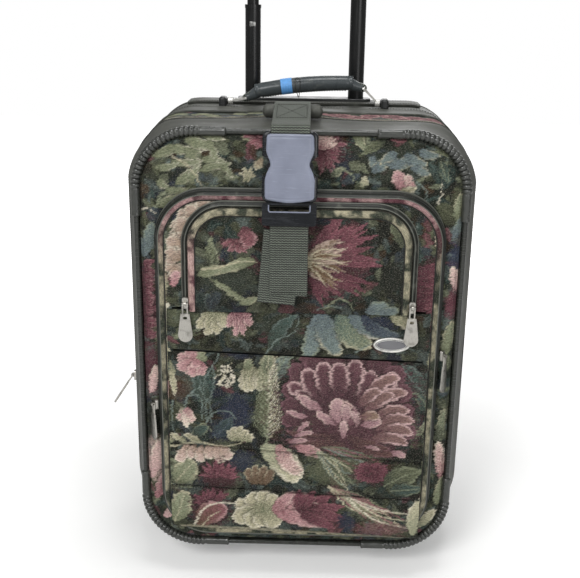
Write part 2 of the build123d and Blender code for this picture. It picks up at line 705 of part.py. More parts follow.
def buckle_insert():
    half = BUCKLE_WIDTH / 2
    web = WEBBING_WIDTH / 2 + 1
    low = -SHELL_LENGTH - INSERT_LENGTH
    high = -SHELL_LENGTH - 0.6
    middle = Plane((0, 0, (low + high) / 2), x_dir=(1, 0, 0), z_dir=(0, -1, 0))
    base = extrude(middle * RectangleRounded(BUCKLE_WIDTH - 1, high - low, 3), BUCKLE_THICK - 0.5)
    base -= block(-web, web, -BUCKLE_THICK, 1, high - 8.5, high - 2)
    base -= block(-web, web, -BUCKLE_THICK + 3, 1, low - 1, high - 11.6)
    base += rod(2.0, (-web - 1, -4.5, low + 6.5), (1, 0, 0), 2 * web + 2)
    cavity = half - 4
    thick_front = -BUCKLE_THICK + BUCKLE_WALL + CLEAR
    thick_back = -BUCKLE_WALL - CLEAR
    root = block(-cavity + 0.5, cavity - 0.5, thick_front, thick_back, high - 0.1, high + 7)
    rib = block(-2.5, 2.5, thick_front, thick_back, high + 6, high + PRONG_LENGTH)
    prongs = Part() + rib
    for side in (-1, 1):
        x = side * (cavity - 5.5)
        arm = block(min(x, x + side * 4), max(x, x + side * 4), thick_front, thick_back, high + 6, high + 40)
        wing = Pos(side * (cavity - 6.5), 0, -35) * Rot(90, 0, 0) * Cylinder(6.0, 40)
        slot = block(-cavity + 0.5, cavity - 0.5, thick_front, thick_back, -44, -26)
        prongs += arm + (wing & slot)
    return in_buckle(base + root + prongs)


def lid_top(y):
    """Level of the lid gusset's top at one depth."""
    share = (y - FRONT_Y - GUSSET_START) / (LID_DEPTH - ZIP_TAPE - GUSSET_START)
    return TOP - (BODY_HEIGHT - EDGE_HIGH - 1) * (1 - share)


ROLL_LEVEL = lid_top(ROLL_DEPTH) + 1.01 * ROLL_RADIUS + CLEAR


def strap_roll():
    start = (STRAP_X - ROLL_LENGTH / 2, ROLL_DEPTH, ROLL_LEVEL)
    roll = rod(ROLL_RADIUS, start, (1, 0, 0), ROLL_LENGTH)
    return fillet(roll.edges(), 3.5)


def strap_upper():
    """Webbing from over the roll, down the slope and round the buckle's top bar."""
    top = ROLL_LEVEL + ROLL_RADIUS + CLEAR + WEBBING / 2
    reach = WEBBING / 2 + CLEAR
    bar_front = buckle_point(-9.0 - reach, 0.6)
    bar_low_front = buckle_point(-9.0 - reach, -4.2 - reach)
    points = [
        (ROLL_DEPTH + ROLL_RADIUS - 2, top),
        (ROLL_DEPTH - 3, top),
        (FRONT_Y - 2, BOTTOM + EDGE_HIGH + SLEEVE_RADIUS + 6.5),
        (bar_front[0] + 0.5, bar_front[1] + 4.0),
        bar_low_front,
    ]
    return side_strip(points, WEBBING, WEBBING_WIDTH, STRAP_X)


def strap_tail():
    pin_y, pin_z = buckle_point(-4.5, -SHELL_LENGTH - INSERT_LENGTH + 6.5)
    inner = 2.0 + CLEAR
    outer = inner + WEBBING
    plane = Plane((STRAP_X - WEBBING_WIDTH / 2, pin_y, pin_z), x_dir=(0, 1, 0), z_dir=(1, 0, 0))
    bend = (Circle(outer) - Circle(inner)) & (Pos(0, outer) * Rectangle(2 * outer, 2 * outer))
    drop = pin_z - BOTTOM - TAIL_LEVEL
    front = Pos(-(inner + outer) / 2, -drop / 2) * Rectangle(WEBBING, drop)
    rear = Pos((inner + outer) / 2, -6) * Rectangle(WEBBING, 12)
    return extrude(plane * (bend + front + rear), WEBBING_WIDTH)


def strap_loop():
    pin_y, pin_z = buckle_point(-4.5, -SHELL_LENGTH - INSERT_LENGTH + 6.5)
    inner = 2.0 + CLEAR
    high = pin_z - 12.5
    low = BOTTOM + LOOP_LEVEL
    half = 0.5
    middle = pin_y - inner + half + WEBBING + CLEAR
    plane = Plane((STRAP_X - WEBBING_WIDTH / 2, middle, low + half + WEBBING), x_dir=(0, 1, 0), z_dir=(1, 0, 0))
    turn = half + WEBBING
    bend = (Circle(turn) - Circle(half)) & (Pos(0, -turn) * Rectangle(2 * turn, 2 * turn))
    rise = high - low - turn
    legs = Pos(half + WEBBING / 2, rise / 2) * Rectangle(WEBBING, rise)
    legs += Pos(-half - WEBBING / 2, rise / 2) * Rectangle(WEBBING, rise)
    loop = extrude(plane * (bend + legs), WEBBING_WIDTH)
    hinge = Pos(STRAP_X + LOOP_SHIFT, 0, high)
    return hinge * Rot(0, LOOP_TURN, 0) * Pos(-STRAP_X, 0, -high) * loop


# Carry handle
def carry_place(shape):
    """Tilts a piece of the carry handle and sets it over the body."""
    return Pos(0, CARRY_DEPTH, TOP + CARRY_LEVEL) * Rot(0, -CARRY_TILT, 0) * shape


def carry_arc():
    return ThreePointArc((-CARRY_HALF, 0, 0), (0, 0, CARRY_RISE), (CARRY_HALF, 0, 0))


def carry_grip():
    path = carry_arc()
    start = Plane(path @ 0, x_dir=(0, 1, 0), z_dir=path % 0)
    grip = sweep(start * Ellipse(CARRY_RADIUS + 1.0, CARRY_RADIUS), path=path)
    bore = sweep(start * Circle(CARRY_CORE + SEAT), path=path)
    return carry_place(grip - bore)


def carry_core():
    """Webbing core: through the grip, with a flat folded eye at each end."""
    path = carry_arc()
    start = Plane(path @ 0, x_dir=(0, 1, 0), z_dir=path % 0)
    core = sweep(start * Circle(CARRY_CORE), path=path)
    near = Pos(CARRY_HALF + CARRY_CORE, -CARRY_FOLD) * Circle(CARRY_CORE - CARRY_FOLD)
    far = Pos(CARRY_HALF + CARRY_EYE_OUT, -CARRY_EYE_DROP) * Circle(CARRY_CORE)
    fold = make_hull(ShapeList([*near.edges(), *far.edges()]))
    fold -= Pos(CARRY_HALF + CARRY_EYE_OUT, -CARRY_EYE_DROP) * Circle(0.8 * RING_WIRE)
    end = rod(CARRY_CORE, path @ 1, path % 1, CARRY_CORE)
    end += extrude(Plane.XZ * fold, amount=CARRY_EYE_LENGTH / 2, both=True)
    return carry_place(core + both_sides(end))


def marker_tape():
    path = carry_arc()
    middle = 0.5 + TAPE_CENTRE / (2 * CARRY_HALF)
    half = TAPE_WIDTH / (4 * CARRY_HALF)
    line = path.trim(middle - half, middle + half)
    start = Plane(line @ 0, x_dir=(0, 1, 0), z_dir=line % 0)
    near = CARRY_RADIUS + 0.05
    band = Ellipse(near + 1.0 + TAPE_THICK, near + TAPE_THICK) - Ellipse(near + 1.0, near)
    return carry_place(sweep(start * band, path=line))


def ring_ends(side):
    """Eye on the anchor's pin and bar in the handle's eye, in side view."""
    bar = carry_place(Pos(side * (CARRY_HALF + CARRY_EYE_OUT), 0, -CARRY_EYE_DROP) * Box(1, 1, 1))
    centre = bar.center()
    pin = (side * (ANCHOR_SPACING / 2 - ANCHOR_PIN_LENGTH / 2), TOP + CARRY_PIVOT_LEVEL)
    return pin, (centre.X, centre.Z)


def carry_rings():
    rings = Part()
    for side in (-1, 1):
        (pin_x, pin_z), (bar_x, bar_z) = ring_ends(side)
        reach = Vector(bar_x - pin_x, 0, bar_z - pin_z)
        length = reach.length
        direction = reach.normalized()
        plane = Plane((pin_x, CARRY_DEPTH, pin_z), x_dir=direction, z_dir=direction.cross(Vector(0, 1, 0)))
        near = RING_NECK / 2
        far = RING_WIDTH / 2
        end = length + RING_WIRE / 2
        corners = [(3.5, -near), (end, -far), (end, far), (3.5, near)]
        outer = make_face(Polyline(corners, close=True))
        inner = offset(outer, -RING_WIRE)
        outer = fillet(outer.vertices(), 1.5)
        loop = extrude(plane * (outer - inner), amount=RING_WIRE / 2, both=True)
        start = (pin_x + side * RING_EYE_HALF, CARRY_DEPTH, pin_z)
        eye = rod(RING_EYE, start, (-side, 0, 0), 2 * RING_EYE_HALF + RING_CAP)
        hole = rod(ANCHOR_PIN + CLEAR, start, (-side, 0, 0), 2 * RING_EYE_HALF)
        rings += loop + eye - hole
    return rings


def carry_anchors():
    x = ANCHOR_SPACING / 2
    base = Plane((x + ANCHOR_WIDTH / 2, CARRY_DEPTH, TOP))
    body = extrude(base * RectangleRounded(ANCHOR_WIDTH, ANCHOR_DEPTH, 4), ANCHOR_HEIGHT)
    body = fillet(body.edges().group_by(Axis.Z)[-1], 3)
    length = ANCHOR_PIN_ROOT + ANCHOR_PIN_LENGTH / 2 + RING_EYE_HALF - CLEAR
    pin = rod(ANCHOR_PIN, (x + ANCHOR_PIN_ROOT, CARRY_DEPTH, TOP + CARRY_PIVOT_LEVEL), (-1, 0, 0), length)
    return both_sides(body + pin)


# Zip sliders and pulls, built facing the front with the pull's pivot at the origin
def slider_form():
    near = PIVOT_OUT - CLEAR
    base = Plane((0, near, 0), x_dir=(1, 0, 0), z_dir=(0, -1, 0))
    body = extrude(base * RectangleRounded(SLIDER_WIDTH, SLIDER_LENGTH, 2.2), SLIDER_THICK)
    bridge = Rot(0, 90, 0) * Cylinder(BRIDGE_RADIUS, BRIDGE_WIDTH)
    foot = block(-BRIDGE_WIDTH / 2, BRIDGE_WIDTH / 2, 0, near - 1, -BRIDGE_RADIUS, BRIDGE_RADIUS)
    hole = Rot(0, 90, 0) * Cylinder(1.42 * BAIL_WIRE + CLEAR, 30)
    return body + bridge + foot - hole


def pull_form():
    half = BAIL_HALF + BAIL_WIRE
    outer = Pos(0, (BAIL_WIRE - BAIL_LENGTH) / 2) * Rectangle(2 * half, BAIL_LENGTH + BAIL_WIRE)
    frame = outer - offset(outer, -2 * BAIL_WIRE)
    top = -BAIL_LENGTH + 1
    tip = top - PADDLE_LENGTH
    centre = tip + PADDLE_RADIUS
    shoulder = Line((-PADDLE_NECK, top), (PADDLE_NECK, top))
    round_end = (Pos(0, centre) * Circle(PADDLE_RADIUS)).edges()
    face = make_hull(ShapeList([shoulder, *round_end]))
    face -= Pos(0, top - 4.5) * RectangleRounded(4.2, 3.0, 1.2)
    plane = Plane((0, 0, 0), x_dir=(1, 0, 0), z_dir=(0, -1, 0))
    bail = extrude(plane * frame, amount=BAIL_WIRE, both=True)
    return bail + extrude(plane * face, amount=PADDLE_THICK / 2, both=True)


def slider_set(name, x, y, z, facing, lean=0.0):
    """Slider with its pull; facing turns it about Z, lean swings the pull out."""
    place = Pos(x, y, z) * Rot(0, 0, facing)
    write(f"slider_{name}", place * slider_form())
    write(f"pull_{name}", place * Rot(-lean, 0, 0) * pull_form())


def write_sliders():
    side = BODY_WIDTH / 2 + PIVOT_OUT
    slider_set("main", -side, ZIP_Y, BOTTOM + MAIN_SLIDER_LEVEL, -90, MAIN_PULL_LEAN)
    wall = LARGE_HALF + SIDE_PIVOT
    depth = PANEL_Y - SIDE_PIVOT_DEPTH
    slider_set("large_left", -wall, depth, BOTTOM + LEFT_SLIDER_LEVEL, -SIDE_TURN)
    slider_set("large_right", wall, depth, BOTTOM + RIGHT_SLIDER_LEVEL, SIDE_TURN)
    strip = SMALL_HALF + SEAT + ZIP_STRIP / 2
    front = LARGE_Y - SMALL_PIVOT
    slider_set("small_left", -strip, front, BOTTOM + SMALL_SLIDER_LEVEL, 0)
    slider_set("small_right", strip, front, BOTTOM + SMALL_SLIDER_LEVEL, 0)


write("board_frame", board_frame())
write("lining", lining())
write("inner_back_pad", inner_back_pad())
write("tapestry_band", body_band(0, SKIN, ZIP_Y + ZIP_TAPE, BAND_BACK_Y))
write("rear_gusset", rear_gusset())
write("back_panel", back_panel())
write("rear_piping", rear_piping())
write("top_strip", top_strip())
write("main_zip_rear", zip_tape(1))
write("outer_tubes", outer_tubes())
write("tube_bracket", tube_bracket())
write("handle_bezel", handle_bezel())
write("wheel_housing_right", wheel_housing())
write("wheel_housing_left", mirror(wheel_housing(), about=Plane.YZ))
write("wheel_axles", wheel_axles())
write("wheel_tyre_right", wheel_tyre())
write("wheel_tyre_left", mirror(wheel_tyre(), about=Plane.YZ))
write("wheel_hub_right", wheel_hub())
write("wheel_hub_left", mirror(wheel_hub(), about=Plane.YZ))
write("front_feet", front_feet())
write("skid_rails", skid_rails())
write("carry_anchors", carry_anchors())

write("lid_panel", lid_panel())
write("lid_gusset", lid_gusset())
write("main_zip_front", zip_tape(-1))
write("edge_tube", edge_tube())
write("corner_sleeves", corner_sleeves())
write("large_pocket", large_pocket())
write("large_pocket_zip", large_pocket_zip())
write("small_pocket", small_pocket())
write("small_pocket_zip", small_pocket_zip())
write("pocket_band", pocket_band())
write("slip_pocket", slip_pocket())
write("badge", badge())
write("strap_roll", strap_roll())
write("strap_upper", strap_upper())
write("buckle_shell", buckle_shell())
write("buckle_insert", buckle_insert())
write("strap_tail", strap_tail())
write("strap_loop", strap_loop())

write("carry_grip", carry_grip())
write("carry_core", carry_core())
write("marker_tape", marker_tape())
write("carry_rings", carry_rings())

write("stage_tube_left", stage_tube(-POST_X, LEFT_STAGE_OUT))
write("stage_tube_right", stage_tube(POST_X, RIGHT_STAGE_OUT))
write("inner_tubes", inner_tubes())
write("pull_grip", pull_grip())
write("grip_button", grip_button())
write_sliders()
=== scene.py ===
import math

import bpy
import numpy as np
from mathutils import Matrix, Vector


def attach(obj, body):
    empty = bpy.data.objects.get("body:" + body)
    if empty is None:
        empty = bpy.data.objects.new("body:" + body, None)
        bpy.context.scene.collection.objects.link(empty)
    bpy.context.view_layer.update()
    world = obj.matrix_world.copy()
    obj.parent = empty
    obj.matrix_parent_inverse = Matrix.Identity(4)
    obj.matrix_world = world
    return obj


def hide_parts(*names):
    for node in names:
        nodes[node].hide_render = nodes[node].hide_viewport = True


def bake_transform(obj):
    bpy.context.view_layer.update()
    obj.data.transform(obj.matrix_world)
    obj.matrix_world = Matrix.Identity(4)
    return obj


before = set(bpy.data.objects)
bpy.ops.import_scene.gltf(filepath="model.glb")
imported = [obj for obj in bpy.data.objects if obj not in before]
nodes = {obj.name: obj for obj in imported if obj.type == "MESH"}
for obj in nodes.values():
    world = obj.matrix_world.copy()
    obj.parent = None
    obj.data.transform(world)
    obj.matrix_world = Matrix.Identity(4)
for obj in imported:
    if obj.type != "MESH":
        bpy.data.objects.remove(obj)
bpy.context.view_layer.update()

# Sizes repeated from the part, in millimetres
BOTTOM, TOP = 28.0, 514.0
ZIP_Y, FRONT_Y = -26.0, -98.0
PANEL_Y = -99.5
WEB_X, WEB_WIDE = -10.5, 38.5
POST_X, POST_Y = 62.0, 106.0
POST_HOLE = 11.2  # radius left open in the cloth round each post
POST_HOLE_DEPTH = 30.0  # below the top, where the holes end


def srgb(code):
    c = np.array([int(code[i:i + 2], 16) for i in (0, 2, 4)]) / 255
    return np.where(c <= 0.04045, c / 12.92, ((c + 0.055) / 1.055) ** 2.4)


def rgba(code):
    return (*srgb(code), 1.0)


# ---- node materials
class Look:
    """One procedural material, with short helpers for its nodes."""

    def __init__(self, name, coords="object"):
        self.mat = bpy.data.materials.new(name)
        self.mat.use_nodes = True
        self.tree = self.mat.node_tree
        self.shader = self.tree.nodes["Principled BSDF"]
        if coords == "object":
            place = self.add("ShaderNodeTexCoord").outputs["Object"]
            self.at = self.add("ShaderNodeVectorMath", operation="SCALE")
            self.tree.links.new(place, self.at.inputs[0])
            self.at.inputs["Scale"].default_value = 1000
            self.at = self.at.outputs[0]
        else:
            node = self.add("ShaderNodeAttribute", attribute_name=coords)
            self.at = node.outputs["Vector"]

    def add(self, kind, **values):
        node = self.tree.nodes.new(kind)
        for key, value in values.items():
            setattr(node, key, value)
        return node

    def put(self, socket, value):
        if isinstance(value, bpy.types.NodeSocket):
            self.tree.links.new(value, socket)
        else:
            socket.default_value = value[:3] if socket.type == "VECTOR" and len(value) == 4 else value

    def math(self, operation, a, b=0.0, c=None, clamp=False):
        node = self.add("ShaderNodeMath", operation=operation, use_clamp=clamp)
        self.put(node.inputs[0], a)
        self.put(node.inputs[1], b)
        if c is not None:
            self.put(node.inputs[2], c)
        return node.outputs[0]

    def split(self, vector=None):
        node = self.add("ShaderNodeSeparateXYZ")
        self.put(node.inputs[0], vector or self.at)
        return node.outputs

    def stretch(self, x, y, z=1.0):
        node = self.add("ShaderNodeVectorMath", operation="MULTIPLY")
        self.put(node.inputs[0], self.at)
        node.inputs[1].default_value = (x, y, z)
        return node.outputs[0]

    def noise(self, scale, detail=3.0, vector=None, rough=0.5):
        node = self.add("ShaderNodeTexNoise")
        self.put(node.inputs["Vector"], vector or self.at)
        node.inputs["Scale"].default_value = scale
        node.inputs["Detail"].default_value = detail
        node.inputs["Roughness"].default_value = rough
        return node.outputs[0]

    def cells(self, scale, vector=None, feature="F1"):
        node = self.add("ShaderNodeTexVoronoi", feature=feature)
        self.put(node.inputs["Vector"], vector or self.at)
        node.inputs["Scale"].default_value = scale
        return node.outputs["Distance"]

    def ramp(self, value, low, high, a=0.0, b=1.0):
        node = self.add("ShaderNodeMapRange")
        self.put(node.inputs[0], value)
        for socket, number in zip(node.inputs[1:5], (low, high, a, b)):
            socket.default_value = number
        return node.outputs[0]

    def mix(self, factor, a, b, blend="MIX"):
        node = self.add("ShaderNodeMix", data_type="RGBA", blend_type=blend)
        self.put(node.inputs[0], factor)
        self.put(node.inputs[6], a)
        self.put(node.inputs[7], b)
        return node.outputs[2]

    def shade(self, colour, factor):
        """Colour made darker or lighter by a number."""
        node = self.add("ShaderNodeVectorMath", operation="SCALE")
        self.put(node.inputs[0], colour)
        self.put(node.inputs["Scale"], factor)
        return node.outputs[0]

    def bump(self, height, distance, strength=1.0, normal=None):
        node = self.add("ShaderNodeBump")
        node.inputs["Strength"].default_value = strength
        node.inputs["Distance"].default_value = distance / 1000
        self.put(node.inputs["Height"], height)
        if normal is not None:
            self.put(node.inputs["Normal"], normal)
        return node.outputs[0]

    def end(self, colour=None, rough=None, normal=None, **fixed):
        if colour is not None:
            self.put(self.shader.inputs["Base Color"], colour)
        if rough is not None:
            self.put(self.shader.inputs["Roughness"], rough)
        if normal is not None:
            self.put(self.shader.inputs["Normal"], normal)
        for key, value in fixed.items():
            self.shader.inputs[key.replace("_", " ")].default_value = value
        return self.mat


# ---- numbers spread over a plane
def lump(x, y, size, seed):
    """Smooth random values from -1 to 1, one lump every so many millimetres."""
    table = np.random.default_rng(seed).random((64, 64))
    u, v = np.asarray(x) / size + 17.3, np.asarray(y) / size + 41.7
    i, j = np.floor(u).astype(int), np.floor(v).astype(int)
    fu, fv = u - i, v - j
    fu, fv = fu * fu * (3 - 2 * fu), fv * fv * (3 - 2 * fv)
    i, j, k, m = i & 63, j & 63, (i + 1) & 63, (j + 1) & 63
    low = table[i, j] * (1 - fu) + table[k, j] * fu
    high = table[i, m] * (1 - fu) + table[k, m] * fu
    return 2 * (low * (1 - fv) + high * fv) - 1


def ease(x, low, high):
    t = np.clip((x - low) / (high - low), 0, 1)
    return t * t * (3 - 2 * t)


def groove(distance, width):
    """1 on a seam, fading to 0 at its sides."""
    return np.exp(-((distance / width) ** 2))


def settled(p):
    """Points of the soft shell after its top has sunk beside the strap and its upper corners have drawn in."""
    depth = np.interp(p[:, 1], (-97, -90, -62, -32, -20, 14, 24, 62), (0, 0.7, 2.8, 3.9, 3.8, 1.9, 1.3, 0))
    sink = depth * (1 - groove(p[:, 0] - WEB_X, 44)) * ease(p[:, 2], TOP - 60, TOP - 14) * (1 - ease(np.abs(p[:, 0]),
            120, 172))
    x, z = np.maximum(np.abs(p[:, 0]) - 122, 0), np.maximum(p[:, 2] - (TOP - 68), 0)
    turn = np.degrees(np.arctan2(z, x + 1e-9))
    pull = np.interp(turn, (0, 12, 28, 46, 66, 90), (0, 2.6, 5.4, 5.2, 0.9, 0)) * (x > 0)
    pull = pull * np.interp(p[:, 1], (-97, -80, -45, -26, 14, 125), (0, 0.35, 0.9, 1.0, 0.8, 0.2)) / (np.hypot(x,
            z) + 1e-9)
    return p - np.stack([np.sign(p[:, 0]) * pull * x, 0 * sink, sink + pull * z], 1)


# ---- meshes, in millimetres until they are closed
class Form:
    """Mesh gathered from grids of points, with places on the cloth and printed colours."""

    def __init__(self):
        self.points, self.faces, self.cloth, self.paint, self.count = [], [], [], [], 0

    def add(self, points, faces, cloth=None, paint=None):
        points = np.asarray(points, float).reshape(-1, 3)
        for block in faces:
            self.faces.append(np.asarray(block, int) + self.count)
        self.points.append(points)
        if cloth is None:
            cloth = points
        cloth = np.asarray(cloth, float).reshape(len(points), -1)
        if cloth.shape[1] == 2:
            cloth = np.hstack([cloth, np.zeros((len(points), 1))])
        self.cloth.append(cloth)
        self.paint.append(np.full((len(points), 3), 0.5) if paint is None else np.asarray(paint).reshape(-1, 3))
        self.count += len(points)

    def grid(self, p, around=False, along=False, cloth=None, paint=None, keep=None, ends=False):
        """Grid of points p[row, column]; around joins the last column to the first, along the last row."""
        p = np.asarray(p, float)
        rows, cols = p.shape[:2]
        at = np.arange(rows * cols).reshape(rows, cols)
        wide = np.hstack([at, at[:, :1]]) if around else at
        tall = np.vstack([wide, wide[:1]]) if along else wide
        quads = np.stack([tall[:-1, :-1], tall[:-1, 1:], tall[1:, 1:], tall[1:, :-1]], -1)
        quads = quads[keep] if keep is not None else quads.reshape(-1, 4)
        faces = [quads]
        points = p.reshape(-1, 3)
        if cloth is not None:
            cloth = np.asarray(cloth, float).reshape(len(points), -1)
        if ends:
            tips = []
            for row, turn in ((0, 1), (rows - 1, -1)):
                centre = len(points) + len(tips)
                ring = at[row]
                after = np.roll(ring, -1)
                pair = (after, ring) if turn > 0 else (ring, after)
                tips.append(p[row].mean(0))
                faces.append(np.stack([*pair, np.full(cols, centre)], -1))
            points = np.vstack([points, tips])
            if cloth is not None:
                cloth = np.vstack([cloth, cloth[0], cloth[-1]])
            if paint is not None:
                paint = np.vstack([np.asarray(paint).reshape(-1, 3)] + [np.asarray(paint).reshape(-1, 3)[:1]] * 2)
        self.add(points, faces, cloth, paint)
        return self

    def sweep(self, line, profile, closed=True, **more):
        """Profile of (outward, depth) pairs carried along an outline of (points, normals, run)."""
        spots, sides, run = line
        profile = np.asarray(profile, float)
        if profile.ndim == 2:
            profile = np.broadcast_to(profile, (len(spots), *profile.shape))
        p = np.empty((*profile.shape[:2], 3))
        p[..., 0] = spots[:, :1] + sides[:, :1] * profile[..., 0]
        p[..., 1] = profile[..., 1]
        p[..., 2] = spots[:, 1:] + sides[:, 1:] * profile[..., 0]
        if "cloth" not in more:
            steps = np.hypot(np.diff(profile[..., 0], axis=1), np.diff(profile[..., 1], axis=1))
            across = np.concatenate([np.zeros((len(spots), 1)), np.cumsum(steps, 1)], 1)
            more["cloth"] = np.stack([np.broadcast_to(run[:, None], across.shape), across], -1)
        if isinstance(more.get("paint"), str):
            more["paint"] = ink(more["paint"], p[..., 0], p[..., 2])
        return self.grid(p, along=closed, **more)

    def rope(self, path, radius, sides=10, closed=False, ref=(0, 1, 0), flat=1.0, ends=True):
        """Round bar of changing radius along a path; flat squeezes it along ref."""
        path = np.asarray(path, float)
        radius = np.broadcast_to(np.asarray(radius, float), (len(path),))
        tangent = np.roll(path, -1, 0) - np.roll(path, 1, 0) if closed else np.gradient(path, axis=0)
        tangent /= np.linalg.norm(tangent, axis=1)[:, None] + 1e-12
        ref = np.broadcast_to(np.asarray(ref, float), path.shape)
        side = np.cross(tangent, ref)
        side /= np.linalg.norm(side, axis=1)[:, None] + 1e-12
        up = np.cross(side, tangent)
        a = 2 * np.pi * np.arange(sides) / sides
        ring = np.cos(a)[None, :, None] * side[:, None] + flat * np.sin(a)[None, :, None] * up[:, None]
        p = path[:, None] + radius[:, None, None] * ring
        run = np.concatenate([[0], np.cumsum(np.linalg.norm(np.diff(path, axis=0), axis=1))])
        turn = a[None, :] * float(radius.max())
        cloth = np.stack(np.broadcast_arrays(run[:, None], turn), -1)
        return self.grid(p, around=True, along=closed, cloth=cloth, ends=ends and not closed)

    def blocks(self, centre, a, b, c, taper=1.0):
        """Small six-sided blocks: half-axis vectors a, b and c at each centre, narrower towards +c."""
        centre, a, b, c = (np.atleast_2d(np.asarray(v, float)) for v in (centre, a, b, c))
        count = len(centre)
        a, b, c = (np.broadcast_to(v, (count, 3)) for v in (a, b, c))
        corners = []
        for z in (-1, 1):
            k = taper if z > 0 else 1.0
            for x, y in ((-1, -1), (1, -1), (1, 1), (-1, 1)):
                corners.append(centre + x * k * a + y * k * b + z * c)
        p = np.stack(corners, 1).reshape(-1, 3)
        box = np.array([[3, 2, 1, 0], [4, 5, 6, 7], [0, 1, 5, 4], [1, 2, 6, 5], [2, 3, 7, 6], [3, 0, 4, 7]])
        faces = (box[None] + 8 * np.arange(count)[:, None, None]).reshape(-1, 4)
        self.add(p, [faces])
        return self

    def stitches(self, path, up, pitch=3.4, long=2.3, wide=0.45, high=0.35):
        """Row of thread stitches lying along a path, up being the way off the cloth."""
        path = np.asarray(path, float)
        up = np.broadcast_to(np.asarray(up, float), path.shape)
        run = np.concatenate([[0], np.cumsum(np.linalg.norm(np.diff(path, axis=0), axis=1))])
        spots = np.arange(pitch / 2, run[-1], pitch)
        at = lambda s, v: np.stack([np.interp(s, run, v[:, k]) for k in range(3)], 1)
        ahead, behind = at(spots + long / 2, path), at(spots - long / 2, path)
        lift = at(spots, up)
        lift /= np.linalg.norm(lift, axis=1)[:, None] + 1e-12
        along = ahead - behind
        side = np.cross(along, lift)
        side /= np.linalg.norm(side, axis=1)[:, None] + 1e-12
        middle = at(spots, path)
        ring = [middle + side * wide / 2, middle + lift * high, middle - side * wide / 2, middle - lift * high]
        p = np.stack([behind - 0.12 * lift, *ring, ahead - 0.12 * lift], 1).reshape(-1, 3)
        tri = np.array([[0, 2, 1], [0, 3, 2], [0, 4, 3], [0, 1, 4], [5, 1, 2], [5, 2, 3], [5, 3, 4], [5, 4, 1]])
        self.add(p, [(tri[None] + 6 * np.arange(len(spots))[:, None, None]).reshape(-1, 3)])
        return self

    def ribbon(self, line, across, width, thick, edge=5, ends=True):
        """Flat strap with rounded edges along a line, across being the way its width runs."""
        line = np.asarray(line, float)
        tangent = np.gradient(line, axis=0)
        tangent /= np.linalg.norm(tangent, axis=1)[:, None] + 1e-12
        across = np.broadcast_to(np.asarray(across, float), line.shape)
        off = np.cross(tangent, across)
        off /= np.linalg.norm(off, axis=1)[:, None] + 1e-12
        half = width / 2
        u = np.concatenate([np.linspace(-half + thick / 2, half - thick / 2, 25)])
        a = np.radians(np.linspace(90, -90, edge))[1:-1]
        section = [(x, thick / 2) for x in u]
        section += [(half - thick / 2 + thick / 2 * math.cos(t), thick / 2 * math.sin(t)) for t in a]
        section += [(x, -thick / 2) for x in u[::-1]]
        section += [(-half + thick / 2 - thick / 2 * math.cos(t), -thick / 2 * math.sin(t)) for t in a]
        section = np.array(section)
        p = line[:, None] + section[None, :, :1] * across[:, None] + section[None, :, 1:] * off[:, None]
        run = np.concatenate([[0], np.cumsum(np.linalg.norm(np.diff(line, axis=0), axis=1))])
        cloth = np.stack(np.broadcast_arrays(section[None, :, 0], run[:, None]), -1)
        return self.grid(p, around=True, cloth=cloth, ends=ends)

    def end(self, name, look, body, stands=(), slot=None, face=None, sharp=50, smooth=True, sunk=False):
        """Closes the mesh in metres and lets it ride on its body. face turns an open sheet's front that way."""
        points, cloth, paint = np.vstack(self.points), np.vstack(self.cloth), np.vstack(self.paint)
        if sunk:
            points = settled(points)
        used = np.zeros(len(points), bool)
        for block in self.faces:
            used[block] = True
        new = np.cumsum(used) - 1
        faces = [new[block] for block in self.faces if len(block)]
        points, cloth, paint = points[used] / 1000, cloth[used], paint[used]
        if face is not None:
            total = 0.0
            for block in faces:
                normal = np.cross(points[block[:, 2]] - points[block[:, 0]], points[block[:, -1]] - points[block[:, 1]])
                if isinstance(face, str):
                    way = points[block].mean(1) - points.mean(0)
                    way[:, 1] = 0
                    total += (normal * way).sum() * (1 if face == "out" else -1)
                else:
                    total += (normal @ np.array(face)).sum()
            if total < 0:
                faces = [block[:, ::-1] for block in faces]
        mesh = bpy.data.meshes.new(name)
        mesh.vertices.add(len(points))
        mesh.vertices.foreach_set("co", points.ravel().astype(np.float32))
        sizes = np.concatenate([np.full(len(block), block.shape[1]) for block in faces])
        mesh.loops.add(int(sizes.sum()))
        mesh.loops.foreach_set("vertex_index", np.concatenate([block.ravel() for block in faces]).astype(np.int32))
        mesh.polygons.add(len(sizes))
        starts = np.concatenate([[0], np.cumsum(sizes)[:-1]])
        mesh.polygons.foreach_set("loop_start", starts.astype(np.int32))
        mesh.update(calc_edges=True)
        mesh.validate()
        spot = mesh.attributes.new("cloth", "FLOAT_VECTOR", "POINT")
        spot.data.foreach_set("vector", cloth.ravel().astype(np.float32))
        dye = mesh.attributes.new("paint", "FLOAT_COLOR", "POINT")
        dye.data.foreach_set("color", np.hstack([paint, np.ones((len(paint), 1))]).ravel().astype(np.float32))
        if smooth:
            mesh.shade_smooth()
            mesh.set_sharp_from_angle(angle=math.radians(sharp))
        item = bpy.data.objects.new(name, mesh)
        bpy.context.scene.collection.objects.link(item)
        mesh.materials.append(look)
        if body:
            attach(item, body)
        if stands:
            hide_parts(*stands)
        return item


